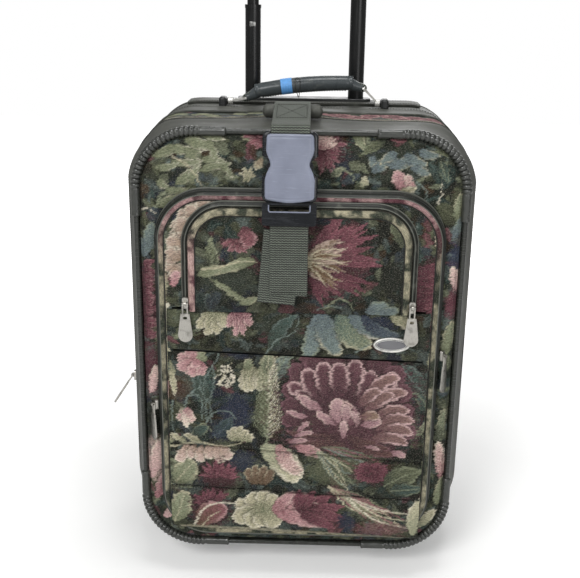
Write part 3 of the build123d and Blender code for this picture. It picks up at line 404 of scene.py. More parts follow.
def outline(half, low, high, corner, step, foot=None, base=None):
    """Points, outward normals and run of a rounded upright outline; with base it is an arch standing there."""
    foot = corner if foot is None else foot
    spots, sides = [], []

    def line(x0, z0, x1, z1, nx, nz):
        count = max(1, round(math.hypot(x1 - x0, z1 - z0) / step))
        t = np.arange(count) / count
        spots.append(np.stack([x0 + (x1 - x0) * t, z0 + (z1 - z0) * t], 1))
        sides.append(np.tile((float(nx), float(nz)), (count, 1)))

    def arc(x, z, radius, start):
        count = max(4, round(radius * math.pi / 2 / step))
        a = np.radians(start + 90 * np.arange(count) / count)
        sides.append(np.stack([np.cos(a), np.sin(a)], 1))
        spots.append((x, z) + radius * sides[-1])

    if base is None:
        line(0, low, half - foot, low, 0, -1)
        arc(half - foot, low + foot, foot, -90)
    line(half, low + foot if base is None else base, half, high - corner, 1, 0)
    arc(half - corner, high - corner, corner, 0)
    line(half - corner, high, corner - half, high, 0, 1)
    arc(corner - half, high - corner, corner, 90)
    line(-half, high - corner, -half, low + foot if base is None else base, -1, 0)
    if base is None:
        arc(foot - half, low + foot, foot, 180)
        line(foot - half, low, 0, low, 0, -1)
    else:
        spots.append(np.array([[-half, base]]))
        sides.append(np.array([[-1.0, 0.0]]))
    spots, sides = np.vstack(spots), np.vstack(sides)
    run = np.concatenate([[0], np.cumsum(np.linalg.norm(np.diff(spots, axis=0), axis=1))])
    return spots, sides, run


def inside(x, z, half, low, high, corner, foot=None):
    """Distance in from a rounded outline's edge, negative outside it."""
    upper = z > (low + high) / 2
    radius = np.where(upper, corner, corner if foot is None else foot)
    qx = np.abs(x) - (half - radius)
    qz = np.where(upper, z - (high - radius), low + radius - z)
    return radius - np.hypot(np.maximum(qx, 0), np.maximum(qz, 0)) - np.minimum(np.maximum(qx, qz), 0)


def rows_in(half, low, high, corner, step, foot=None, across=None):
    """Grid of (x, z) whose rows fill a rounded outline from edge to edge."""
    foot = corner if foot is None else foot
    bend = lambda r: r * (1 - np.cos(np.linspace(0, math.pi / 2, max(2, round(1.4 * r / step)))))
    levels = np.concatenate([
        low + bend(foot),
        np.linspace(low + foot, high - corner, max(2, round((high - low - foot - corner) / step)))[1:-1],
        (high - bend(corner))[::-1],
    ])
    drop = np.maximum(levels - (high - corner), 0)
    rise = np.maximum(low + foot - levels, 0)
    wide = half - corner + np.sqrt(np.maximum(corner**2 - drop**2, 0)) * (levels > high - corner)
    wide = np.where(levels <= high - corner, half, wide)
    wide = np.where(levels < low + foot, half - foot + np.sqrt(np.maximum(foot**2 - rise**2, 0)), wide)
    t = np.linspace(-1, 1, round(2 * half / (across or step)))
    return wide[:, None] * t[None], np.repeat(levels[:, None], len(t), 1)


def facing(spots, y):
    """3-D path from (x, z) points at one depth."""
    spots = np.asarray(spots, float)
    return np.stack([spots[:, 0], np.broadcast_to(np.asarray(y, float), (len(spots),)), spots[:, 1]], 1)



INK = {name: srgb(code) for name, code in {
    "night": "1e201b", "moss": "2d322a", "navy": "252a39", "teal": "43544f", "mist": "717d77", "sage": "82876f",
    "olive": "62664f", "cream": "b3ac92", "pale": "cdc6b3", "wine": "3f262b", "burgundy": "603942", "rose": "82565b",
    "pink": "b49190", "blush": "cab2a8", "peach": "a9978a", "tan": "84705f", "brown": "51402f", "slate": "515b61",
}.items()}


def lumps(shape, cells, seed):
    """Smooth random values from 0 to 1 over an array, with the given number of cells each way."""
    rng = np.random.default_rng(seed)
    grid = rng.random((cells[0] + 2, cells[1] + 2))
    r = np.linspace(0, cells[0], shape[0])
    c = np.linspace(0, cells[1], shape[1])
    i, j = r.astype(int), c.astype(int)
    fr, fc = r - i, c - j
    fr, fc = (fr * fr * (3 - 2 * fr))[:, None], (fc * fc * (3 - 2 * fc))[None, :]
    a = grid[i][:, j] * (1 - fr) + grid[i + 1][:, j] * fr
    b = grid[i][:, j + 1] * (1 - fr) + grid[i + 1][:, j + 1] * fr
    return a * (1 - fc) + b * fc


def ramp(x, low, high):
    t = np.clip((x - low) / (high - low), 0, 1)
    return t * t * (3 - 2 * t)


class Cloth:
    """A piece of printed cloth: colours on a half-millimetre lattice, places in millimetres."""

    def __init__(self, x0, x1, z0, z1, seed=1, step=0.5, dim=1.0):
        self.x0, self.z0, self.step, self.dim = x0, z0, step, dim
        self.nx, self.nz = int((x1 - x0) / step) + 1, int((z1 - z0) / step) + 1
        self.rng = np.random.default_rng(seed)
        shape = (self.nz, self.nx)
        size = (z1 - z0, x1 - x0)
        cells = lambda mm: tuple(max(1, int(s / mm)) for s in size)
        big = lumps(shape, cells(34), seed) * 0.6 + lumps(shape, cells(11), seed + 1) * 0.4
        self.grain = lumps(shape, (max(1, int(size[0] / 0.9)), max(1, int(size[1] / 4))), seed + 2)
        self.fine = lumps(shape, cells(1.6), seed + 3)
        self.rgb = INK["night"] + (INK["moss"] - INK["night"]) * ramp(big, 0.35, 0.7)[..., None]
        blue = ramp(lumps(shape, cells(42), seed + 4), 0.6, 0.85)[..., None]
        self.rgb = self.rgb * (1 - 0.7 * blue) + INK["navy"] * 0.7 * blue
        self.rgb = self.rgb * (0.75 + 0.5 * self.grain[..., None]) * (0.4 + 0.6 * dim)
        self.litter(x0, x1, z0, z1)

    def litter(self, x0, x1, z0, z1):
        """Dim leaves and stems that fill the ground behind the motifs."""
        rng = np.random.default_rng(self.nx)
        tones = [INK[n] for n in ("moss", "mist", "olive", "teal", "sage", "slate", "brown", "rose")]
        for _ in range(int((x1 - x0) * (z1 - z0) / 75)):
            x, z, a = rng.uniform(x0, x1), rng.uniform(z0, z1), rng.uniform(0, 6.283)
            reach = rng.uniform(9, 26)
            tone = tones[rng.choice(8, p=(0.2, 0.2, 0.16, 0.14, 0.12, 0.08, 0.05, 0.05))]
            tip = (x + reach * np.cos(a), z + reach * np.sin(a))
            tone = tone * self.dim
            self.petal((x, z), tip, reach * rng.uniform(0.16, 0.34), tone * 0.34, tone * 0.62,
                    tone * rng.uniform(0.75, 1.5),
                       rng.uniform(0.5, 1.0), rng.uniform(-0.15, 0.15), veins=0.3, cover=rng.uniform(0.5, 0.9))

    def window(self, x0, x1, z0, z1):
        i0 = max(0, int((z0 - self.z0) / self.step))
        i1 = min(self.nz, int((z1 - self.z0) / self.step) + 2)
        j0 = max(0, int((x0 - self.x0) / self.step))
        j1 = min(self.nx, int((x1 - self.x0) / self.step) + 2)
        if i0 >= i1 or j0 >= j1:
            return None
        x = self.x0 + np.arange(j0, j1) * self.step
        z = self.z0 + np.arange(i0, i1) * self.step
        return (slice(i0, i1), slice(j0, j1)), np.meshgrid(x, z)

    def lay(self, where, mask, colour):
        part = self.rgb[where]
        self.rgb[where] = part * (1 - mask[..., None]) + colour * mask[..., None]

    def petal(self, base, tip, width, dark, mid, edge, point=0.5, bend=0.0, lines=0.5, rim=0.8, veins=0.0, cover=1.0):
        """One petal or leaf from its base to its tip, shaded along its length, with a lighter edge."""
        (x0, z0), (x1, z1) = base, tip
        length = float(np.hypot(x1 - x0, z1 - z0)) + 1e-6
        ax, az = (x1 - x0) / length, (z1 - z0) / length
        pad = width + abs(bend) * length + 2
        got = self.window(min(x0, x1) - pad, max(x0, x1) + pad, min(z0, z1) - pad, max(z0, z1) + pad)
        if got is None:
            return
        where, (x, z) = got
        t = ((x - x0) * ax + (z - z0) * az) / length
        s = -(x - x0) * az + (z - z0) * ax - bend * length * 4 * t * (1 - t)
        inside = (t > 0) & (t < 1)
        tt = np.clip(t, 1e-4, 1 - 1e-4)
        a = 0.62
        peak = a / (a + point)
        w = width * (tt / peak) ** a * ((1 - tt) / (1 - peak)) ** point
        wobble = 1 + 0.07 * np.sin(t * length * 0.55 + x0) + 0.1 * (self.fine[where] - 0.5)
        q = np.abs(s) / (w * wobble + 1e-6)
        q = np.where(inside, q, 9)
        grain = self.grain[where]
        streak = 0.5 + 0.5 * np.sin(s * 2.6 + 3 * self.fine[where] + x0 * 1.7)
        shade = np.clip(0.15 + 0.75 * t + lines * (streak - 0.5) * 0.9 + 0.5 * (grain - 0.5), 0, 1)
        if veins:
            rib = 0.5 + 0.5 * np.sin((t * length - np.abs(s) * 1.1) * 1.5)
            shade = np.clip(shade + veins * (rib - 0.5), 0, 1)
        colour = dark + (mid - dark) * shade[..., None]
        light = (1.0 if rim < 0.8 else 0.6) * ramp(q, rim - 0.22, rim + 0.1) * ramp(t, 0.25, 0.7) + 0.8 * ramp(t,
                0.88, 1.0)
        light = np.clip(light * (0.6 + 0.8 * grain), 0, 1)
        if veins:
            light = np.maximum(light, (np.abs(s) < 0.8) * 0.55)
        colour = colour + (edge - colour) * light[..., None]
        shadow = (1 - ramp(q, 0.95, 1.35)) * inside * 0.75 * cover
        self.rgb[where] *= 1 - 0.75 * shadow[..., None]
        self.lay(where, (1 - ramp(q, 0.92, 1.06)) * cover, colour)

    def bloom(self, x, z, radius, rings, dark, mid, edge, squash=1.0, turn=0.0, arc=(0, 360), point=0.5, wide=0.42,
            rim=0.8, core=None):
        """Many-petalled flower: rings of petals from the outside in."""
        rng = self.rng
        for k in range(rings):
            r = radius * (1 - 0.72 * k / max(1, rings - 1)) if rings > 1 else radius
            count = max(6, int(17 - 2.4 * k))
            for i in range(count):
                ang = turn + 360 * (i + 0.5 * (k % 2)) / count + rng.uniform(-7, 7)
                a = (ang - arc[0]) % 360
                if a > (arc[1] - arc[0]):
                    continue
                rad = np.radians(ang)
                reach = r * rng.uniform(0.86, 1.1)
                tip = (x + reach * np.cos(rad), z + squash * reach * np.sin(rad))
                base = (x + 0.18 * r * np.cos(rad), z + 0.18 * squash * r * np.sin(rad))
                w = r * wide * rng.uniform(0.8, 1.15) * (0.62 if k < rings - 1 else 0.8)
                f = 1.25 - 0.5 * k / max(1, rings) if rings > 1 else 1
                self.petal(base, tip, w, dark, mid * f + edge * (1 - f) * 0.0, edge, point, rng.uniform(-0.06, 0.06),
                        rim=rim)
        if core is not None:
            self.petal((x - 0.1 * radius, z - 0.16 * radius), (x, z + 0.2 * radius), radius * 0.13, mid, core, core)

    def stroke(self, points, width, colour, taper=0.3, strength=0.9):
        """Stem, tendril or outline through some points."""
        pts = np.array(points, float)
        t = np.linspace(0, len(pts) - 1, 12 * (len(pts) - 1) + 1)
        i = np.minimum(t.astype(int), len(pts) - 2)
        f = t - i
        p = np.pad(pts, ((1, 1), (0, 0)), mode="edge")
        a, b, c, d = p[i], p[i + 1], p[i + 2], p[i + 3]
        f = f[:, None]
        curve = 0.5 * (2 * b + (c - a) * f + (2 * a - 5 * b + 4 * c - d) * f**2 + (3 * b - a - 3 * c + d) * f**3)
        got = self.window(curve[:, 0].min() - width, curve[:, 0].max() + width, curve[:, 1].min() - width, curve[:,
                1].max() + width)
        if got is None:
            return
        where, (x, z) = got
        best = np.full(x.shape, 1e9)
        for k in range(len(curve) - 1):
            (ax, az), (bx, bz) = curve[k], curve[k + 1]
            dx, dz = bx - ax, bz - az
            u = np.clip(((x - ax) * dx + (z - az) * dz) / (dx * dx + dz * dz + 1e-9), 0, 1)
            w = width * (1 - (1 - taper) * (k / len(curve)))
            best = np.minimum(best, np.hypot(x - ax - u * dx, z - az - u * dz) / w)
        mask = (1 - ramp(best, 0.7, 1.2)) * strength * (0.55 + 0.6 * self.grain[where])
        self.lay(where, np.clip(mask, 0, 1), colour)

    def spray(self, x, z, angle, length, spread, count, colours, width=0.7):
        """Fan of thin grass strokes from one point."""
        for i in range(count):
            a = np.radians(angle + spread * (self.rng.random() - 0.5) * 2)
            r = length * self.rng.uniform(0.5, 1.0)
            bow = self.rng.uniform(-0.12, 0.12) * r
            ex, ez = x + r * np.cos(a), z + r * np.sin(a)
            mx, mz = x + 0.5 * r * np.cos(a) - bow * np.sin(a), z + 0.5 * r * np.sin(a) + bow * np.cos(a)
            self.stroke([(x, z), (mx, mz), (ex, ez)], width * self.rng.uniform(0.7, 1.2), colours[i % len(colours)],
                    0.5)

    def dots(self, x, z, rx, rz, count, size, colour):
        for _ in range(count):
            a, r = self.rng.uniform(0, 6.283), np.sqrt(self.rng.random())
            px, pz = x + rx * r * np.cos(a), z + rz * r * np.sin(a)
            s = size * self.rng.uniform(0.6, 1.3)
            b = self.rng.uniform(0, 6.283)
            self.petal((px - s * np.cos(b), pz - s * np.sin(b)), (px + s * np.cos(b), pz + s * np.sin(b)), s * 0.7,
                    colour * 0.7, colour, colour)

    def patch(self, x, z, rx, rz, colour, strength=0.8):
        """Soft field of colour with a ragged edge."""
        got = self.window(x - 1.4 * rx, x + 1.4 * rx, z - 1.4 * rz, z + 1.4 * rz)
        if got is None:
            return
        where, (px, pz) = got
        d = np.hypot((px - x) / rx, (pz - z) / rz) + 0.7 * (self.grain[where] - 0.5) + 0.5 * (self.fine[where] - 0.5)
        tone = colour * (0.7 + 0.6 * self.grain[where])[..., None]
        self.lay(where, (1 - ramp(d, 0.75, 1.1)) * strength, tone)


def flower_print(name, x0, x1, z0, z1, seed):
    """Traditional woven flower print for one cut piece, laid out in the lid's own millimetres."""
    c = Cloth(x0, x1, z0, z1, seed, dim=0.95 if name in ("lid", "large") else 0.6)
    I = INK
    wine, bur, rose, pink, blush = I["wine"], I["burgundy"], I["rose"], I["pink"], I["blush"]
    cream, pale, sage, olive, mist, teal, navy = I["cream"], I["pale"], I["sage"], I["olive"], I["mist"], I["teal"], I["navy"]
    moss, night, peach, tan, brown, slate = I["moss"], I["night"], I["peach"], I["tan"], I["brown"], I["slate"]
    if name == "slip":
        # upper field: leaves and buds left, grasses in the middle, the large bloom right
        c.patch(-66, 178, 18, 22, navy, 0.95)
        c.patch(-80, 156, 18, 14, navy, 0.8)
        c.patch(-104, 212, 14, 20, teal, 0.8)
        c.patch(-60, 246, 16, 8, navy, 0.7)
        c.patch(-128, 206, 18, 16, INK["brown"], 0.5)
        c.petal((-96, 188), (-104, 232), 8, moss, teal * 0.8, mist, 0.8, 0.1, veins=0.4)
        for line in ([(-84, 246), (-87, 236), (-95, 224), (-100, 213), (-100, 203)], [(-91, 230), (-89, 212),
                (-92, 198), (-96, 192)],
                     [(-117, 195), (-108, 197), (-102, 188), (-103, 168)], [(-99, 192), (-98, 176), (-98, 164)],
                     [(-94, 192), (-93, 176), (-93, 164)], [(-120, 185), (-118, 196), (-104, 206)]):
            c.stroke(line, 0.8, mist, 0.7)
        c.stroke([(-98, 166), (-90, 176), (-81, 179), (-72, 177), (-66, 170)], 1.1, mist, 0.7)
        c.stroke([(-116, 149), (-108, 160), (-101, 163), (-94, 156), (-90, 146)], 1.1, sage, 0.7)
        c.petal((-92, 148), (-70, 172), 9, navy, teal * 0.7, slate, 0.8, -0.1, veins=0.3)
        c.petal((-112, 146), (-96, 160), 7, moss, teal, sage, 0.8, 0.1)
        for x0_, z0_, x1_, z1_, w in ((-104, 238, -128, 240, 6), (-106, 236, -118, 249, 6), (-106, 236, -128, 228, 7),
                                      (-104, 234, -116, 220, 7), (-102, 236, -104, 220, 6), (-106, 238, -110, 228, 6)):
            c.petal((x0_, z0_), (x1_, z1_), w, rose, pink, blush, 0.4)
        c.petal((-98, 236), (-106, 246), 5, olive, sage, cream)
        c.dots(-77, 219, 11, 13, 60, 1.5, pale)
        c.stroke([(-84, 208), (-78, 222), (-70, 236)], 0.6, cream)
        for bx, bz, h in ((-52, 200, 34), (-38, 202, 30)):
            for dx, w in ((-7, 5), (7, 5), (-2, 6), (3, 5)):
                c.petal((bx + dx * 0.3, bz + h), (bx + dx, bz + abs(dx) * 0.9), w, olive, cream, pale, 0.35, lines=0.8)
        c.petal((-52, 228), (-53, 240), 5, olive, sage, cream, 0.5)
        c.petal((-24, 216), (-6, 246), 9, moss, mist, sage, 0.8, 0.1, veins=0.5)
        c.petal((-30, 222), (-28, 248), 8, moss, sage, cream, 0.7, 0.1, veins=0.5)
        c.patch(-31, 184, 12, 34, olive * 0.8, 0.55)
        for k in range(46):
            z0_ = 146 + 1.75 * k
            sway = 3 * np.sin(k * 0.9)
            side = 1 if k % 2 else -1
            reach = 16 * (1 - 0.5 * k / 46)
            c.stroke([(-31 + 0.3 * sway, z0_), (-31 + side * reach * 0.55, z0_ + 8), (-31 + side * reach, z0_ + 18)],
                    0.75,
                     (olive, cream, sage, pale)[k % 4], 0.5)
        c.stroke([(-32, 142), (-31, 180), (-26, 216), (-14, 246)], 1.3, sage)
        c.petal((-120, 182), (-129, 166), 5.0, sage, pink, pale, 0.6)
        c.petal((-120, 182), (-120, 158), 5.0, pink, pale, pale, 0.6)
        c.petal((-120, 182), (-112, 164), 4.6, rose, blush, pale, 0.6)
        c.stroke([(-121, 180), (-120, 192), (-112, 200)], 0.9, mist)
        for dx, h in ((-9, 14), (-4, 18), (3, 19), (9, 15), (16, 10)):
            c.petal((-64 + dx * 0.5, 142), (-64 + dx, 142 + h), 5.0, olive, cream, pale, 0.4, lines=0.8)
        c.petal((-136, 236), (-132, 196), 3.4, olive, cream, pale, 0.6)
        c.stroke([(-134, 190), (-136, 170), (-134, 150)], 0.9, mist)
        for dx in (-30, -16, 0):
            c.petal((-104 + dx, 140), (-122 + dx, 150), 3.6, olive, cream, pale, 0.6)
        # right side leaves
        c.petal((136, 206), (110, 238), 13, moss, teal, mist, 0.9, 0.05, veins=0.5)
        c.petal((144, 178), (124, 206), 7, moss, teal, sage, 0.9, -0.1, veins=0.3)
        c.stroke([(126, 150), (134, 160), (140, 150)], 1.0, sage)
        c.petal((128, 150), (142, 172), 4, moss, sage, cream, 0.9)
        # large bloom: broad upright petals, a folded bud, curled petals right, long ones swept out below
        plum, deep, dusk, glow = (srgb(v) for v in ("5f4147", "3a272c", "76555c", "c2a4a2"))
        c.patch(56, 190, 74, 66, plum * 0.55, 0.95)
        c.patch(54, 150, 72, 22, plum * 0.6, 0.95)
        for x0_, z0_, x1_, z1_, w in ((20, 212, -8, 232, 12), (30, 226, 8, 250, 13), (46, 232, 34, 258, 12), (62, 232,
                64, 258, 12),
                                      (78, 224, 92, 248, 12), (92, 214, 112, 232, 12), (10, 196, -14, 212, 11), (98,
                                      196, 122, 210, 11),
                                      (10, 182, -16, 190, 10), (6, 168, -16, 172, 9), (104, 180, 126, 186, 9), (100,
                                      160, 130, 158, 10)):
            c.petal((x0_, z0_), (x1_, z1_), w, deep, plum * 0.9, dusk, 0.45)
        for x0_, z0_, x1_, z1_, w in ((34, 183, -10, 213, 9), (34, 178, -1, 204, 8), (30, 186, 8, 230, 11), (38, 190,
                26, 238, 11),
                                      (56, 194, 62, 242, 10), (46, 192, 44, 238, 11), (66, 182, 80, 230, 10), (80,
                                      182, 104, 228, 10)):
            c.petal((x0_, z0_), (x1_, z1_), w, deep, plum * 1.05, glow * 0.9, 0.42, c.rng.uniform(-0.04, 0.04),
                    rim=0.78)
        for x0_, z0_, x1_, z1_, w, bend in ((76, 190, 110, 224, 8, 0.16), (80, 184, 118, 206, 8, 0.14), (74, 180, 104,
                204, 8, 0.1),
                                            (84, 170, 122, 184, 8, 0.14), (86, 160, 127, 172, 8, 0.16), (88, 152, 127,
                                            158, 8, 0.16),
                                            (80, 146, 122, 144, 7, 0.14), (68, 188, 90, 208, 7, 0.1)):
            c.petal((x0_, z0_), (x1_, z1_), w, plum * 0.8, (dusk + INK["tan"]) * 0.5, glow, 0.5, bend, rim=0.76)
        for x0_, z0_, x1_, z1_, w, bend in ((48, 152, -12, 158, 6, 0.1), (46, 148, -12, 146, 6, 0.06), (50, 144, -6,
                138, 6, 0.0),
                                            (58, 148, 104, 138, 7, -0.08), (60, 142, 114, 131, 6, -0.06), (50, 146,
                                            44, 128, 7, 0.0),
                                            (56, 150, 90, 146, 6, -0.1)):
            c.petal((x0_, z0_), (x1_, z1_), w, deep, (plum + INK["brown"]) * 0.6, dusk, 0.8, bend, lines=0.9)
        for x0_, z0_, x1_, z1_, w in ((27, 183, 1, 200, 6), (45, 166, 22, 180, 5), (12, 174, -10, 181, 3.6), (2, 156,
                14, 168, 3),
                                      (-2, 150, 18, 156, 3), (-8, 142, 12, 146, 3), (72, 165, 92, 172, 7), (104, 134,
                                      120, 128, 4),
                                      (76, 140, 92, 136, 2.5)):
            c.petal((x0_, z0_), (x1_, z1_), w, dusk, dusk * 0.5 + glow * 0.6, blush, 0.55, 0.05)
        c.petal((54, 164), (60, 188), 7, plum, dusk, glow, 0.5, -0.1)
        c.petal((44, 166), (52, 194), 11, plum * 0.8, dusk * 1.15, blush, 0.4)
        c.petal((46, 168), (44, 197), 8, dusk, dusk * 0.4 + glow * 0.7, blush, 0.42, 0.06)
        c.petal((52, 168), (52, 190), 6, dusk, glow * 0.8, blush, 0.5, -0.12)
        c.petal((64, 162), (58, 182), 4, plum, glow * 0.8, blush, 0.6, -0.2)
        c.petal((52, 149), (51, 171), 4.6, dusk, glow * 0.85, blush, 0.5)
        c.petal((68, 174), (90, 176), 6, plum, INK["tan"], blush, 0.5, 0.1)
        # middle row between the folds
        c.patch(-60, 118, 18, 14, navy, 0.8)
        c.patch(-125, 104, 16, 20, sage, 0.75)
        c.petal((-134, 90), (-112, 118), 13, olive, sage, cream, 0.5, veins=0.3)
        for i, dx in enumerate((-30, -18, -6, 6, 18, 28)):
            c.petal((-100 + dx * 0.6, 137), (-100 + dx, 117 + (i % 2) * 4), 6.5, tan, blush * 0.9, pale, 0.4)
        c.stroke([(-139, 134), (-110, 140), (-80, 136), (-58, 141)], 1.2, cream)
        c.patch(-84, 100, 22, 20, wine, 0.9)
        c.bloom(-84, 98, 24, 2, wine, bur + 0.25 * rose, rose, 0.95, arc=(0, 180), point=1.0, wide=0.2)
        for dx in (-11, -4, 4, 11):
            c.petal((-40 + dx * 0.5, 90), (-40 + dx * 1.3, 117 - abs(dx) * 0.6), 5.4, brown, tan * 0.7, cream, 0.5)
        c.petal((-38, 139), (4, 96), 15, sage, cream, pale, 0.45, 0.06, lines=0.6)
        c.petal((-20, 140), (8, 104), 9, rose, blush, pale, 0.5, -0.1, lines=0.6)
        c.petal((0, 138), (30, 128), 7, rose, pink, blush, 0.5)
        c.patch(46, 112, 40, 22, olive * 0.7, 0.75)
        c.spray(22, 134, -42, 66, 16, 20, [olive, sage, mist, cream], 0.8)
        c.spray(30, 138, -18, 70, 12, 14, [mist, olive, rose], 0.8)
        c.patch(84, 108, 24, 14, wine, 0.8)
        c.bloom(84, 108, 20, 2, wine, bur, rose, 0.7, point=0.8, wide=0.3)
        c.petal((98, 92), (140, 112), 13, moss, olive, sage, 0.9, 0.05, veins=0.5)
        c.petal((104, 86), (143, 90), 8, moss, teal, sage, 0.9, veins=0.5)
        # lowest row
        c.petal((-136, 40), (-122, 80), 12, olive, sage, cream, 0.5, veins=0.3)
        c.patch(-96, 58, 24, 22, wine, 0.9)
        c.bloom(-92, 62, 24, 2, wine, bur, rose, 1.0, arc=(30, 170), point=0.9, wide=0.22)
        c.petal((-110, 38), (-76, 62), 14, brown, rose * 0.9, pink, 0.6, 0.1)
        c.stroke([(-113, 38), (-104, 56), (-88, 66), (-66, 66), (-52, 62)], 1.4, pale)
        c.stroke([(-104, 36), (-96, 48), (-84, 56)], 1.0, cream)
        for ang, reach, w in ((170, 34, 13), (128, 30, 11), (92, 30, 10), (60, 28, 9), (200, 38, 12), (232, 32, 12),
                (262, 26, 12), (300, 30, 11)):
            rad = np.radians(ang)
            c.petal((-34, 58), (-34 + reach * np.cos(rad), 58 + 0.8 * reach * np.sin(rad)), w, olive, cream, pale,
                    0.4, lines=0.6)
        for ang, reach, w in ((24, 56, 10), (8, 64, 9), (-8, 66, 10), (40, 48, 9), (-24, 62, 9), (55, 40, 7)):
            rad = np.radians(ang)
            c.petal((-24, 58), (-24 + reach * np.cos(rad), 58 + 0.75 * reach * np.sin(rad)), w, rose, pink, blush,
                    0.8, lines=0.7)
            c.petal((4, 58), (-24 + 1.25 * reach * np.cos(rad), 58 + 0.85 * reach * np.sin(rad)), w * 0.8, wine,
                    bur + 0.2 * rose, rose, 0.8, lines=0.7)
        c.patch(58, 46, 10, 12, navy, 0.9)
        c.spray(36, 90, -32, 100, 11, 22, [sage, cream, tan, rose], 1.0)
        c.spray(56, 78, -24, 84, 12, 16, [cream, rose, olive, pale], 0.9)
        c.patch(96, 38, 30, 10, rose * 0.8, 0.5)
        c.petal((134, 30), (142, 78), 8, sage, cream, pale, 0.6, 0.1)
        c.stroke([(-126, 34), (-40, 32), (40, 28), (120, 24)], 3.0, cream, 1.0, 0.55)
    if name == "band":
        c.patch(-122, 285, 20, 12, olive, 0.6)
        c.spray(-130, 262, 40, 40, 30, 9, [olive, sage], 0.9)
        for dx in (-12, -4, 5, 13):
            c.petal((-86 + dx * 0.3, 292), (-92 + dx * 1.2, 262 + abs(dx)), 7, olive, cream, pale, 0.7, lines=0.8)
        for dx in (-10, -3, 4, 11):
            c.petal((-62 + dx * 0.4, 294), (-62 + dx * 1.2, 260 + abs(dx) * 1.5), 5, bur, pink, blush, 0.8, lines=0.8)
        c.patch(-20, 275, 26, 14, moss, 0.9)
        c.petal((-30, 250), (0, 292), 8, moss, teal, mist, 0.9, 0.1)
        c.stroke([(-34, 246), (-22, 262), (-4, 272), (2, 290)], 0.9, mist)
        c.petal((22, 294), (8, 240), 11, slate, mist, sage, 0.6, 0.05, lines=0.9)
        c.petal((26, 294), (44, 246), 12, slate, mist, cream, 0.6, -0.08, lines=0.9)
        c.petal((40, 292), (78, 256), 13, teal, sage, cream, 0.6, -0.1, lines=0.9)
        c.petal((52, 294), (102, 268), 8, slate, mist, pale, 0.7, -0.1, lines=0.8)
        c.patch(86, 280, 16, 10, navy, 0.9)
        c.petal((66, 292), (112, 270), 7, navy, slate, mist, 0.8, -0.15)
        c.petal((96, 294), (124, 278), 7, olive, cream, pale, 0.7)
        c.patch(120, 262, 22, 12, moss, 0.9)
        c.stroke([(60, 250), (84, 262), (108, 260), (130, 250)], 0.9, mist)
    if name == "small":
        c.patch(-70, 330, 34, 20, moss, 0.9)
        c.bloom(-62, 374, 18, 2, wine, rose * 0.8, pink, 0.9, arc=(200, 380), point=0.7, wide=0.3)
        c.petal((-58, 386), (-48, 366), 8, wine, rose, pink, 0.5)
        c.petal((-84, 340), (-90, 376), 5, moss, olive, sage, 0.9, 0.1, veins=0.4)
        c.petal((-104, 334), (-70, 342), 6, olive, sage, cream, 0.9, 0.05, lines=0.6)
        c.petal((-44, 352), (-84, 336), 6, olive, sage, cream, 0.9, -0.05, lines=0.6)
        c.stroke([(-92, 372), (-84, 358), (-84, 342), (-92, 330)], 1.1, sage)
        c.stroke([(-100, 340), (-80, 344), (-60, 350), (-42, 350)], 1.3, cream)
        c.stroke([(-90, 330), (-78, 322), (-70, 312), (-58, 306)], 1.0, olive)
        for i in range(5):
            c.petal((-86 + 6 * i, 330 - 4 * i), (-78 + 6 * i, 320 - 4 * i), 2.6, olive, sage, cream, 0.8)
        c.petal((-60, 304), (-40, 312), 4, olive, sage, cream, 0.8)
        # fringed bloom right of the strap
        c.patch(34, 350, 36, 40, wine, 0.95)
        c.patch(98, 334, 16, 20, night, 0.9)
        bx, bz = 4, 352
        for k in range(46):
            ang = c.rng.uniform(-72, 62)
            r = c.rng.uniform(50, 84) * (1.0 if ang > -40 else 0.8)
            rad = np.radians(ang)
            tone = (bur + 0.2 * rose) if ang > -10 else bur
            c.petal((bx + 18 * np.cos(rad), bz + 18 * np.sin(rad)), (bx + r * np.cos(rad),
                    bz + 0.86 * r * np.sin(rad)), 3.6, wine, tone, rose, 1.0, c.rng.uniform(-0.06, 0.06))
        for k in range(30):
            ang = c.rng.uniform(-50, 58)
            r = c.rng.uniform(28, 50)
            rad = np.radians(ang)
            col = (tan, peach, brown * 1.6)[k % 3]
            c.petal((bx, bz), (bx + r * np.cos(rad), bz + 0.9 * r * np.sin(rad)), 2.6, brown, col, peach, 0.9,
                    c.rng.uniform(-0.1, 0.1))
        for ang in (32, 20, 8, -8, -22, -40):
            rad = np.radians(ang)
            c.stroke([(bx, bz), (bx + 20 * np.cos(rad), bz + 22 * np.sin(rad)), (bx + 40 * np.cos(rad - 0.2),
                    bz + 36 * np.sin(rad - 0.2))], 1.0, cream)
        c.stroke([(28, 300), (40, 312), (52, 308), (58, 298)], 1.2, sage)
        c.stroke([(20, 298), (30, 304), (44, 302)], 1.0, mist)
        c.petal((70, 296), (92, 306), 9, slate, mist, sage, 0.5, lines=0.7)
        c.petal((84, 294), (104, 300), 7, slate, mist, sage, 0.5, lines=0.7)
        c.petal((104, 370), (92, 398), 6, moss, olive, sage, 0.8)
    if name == "large":
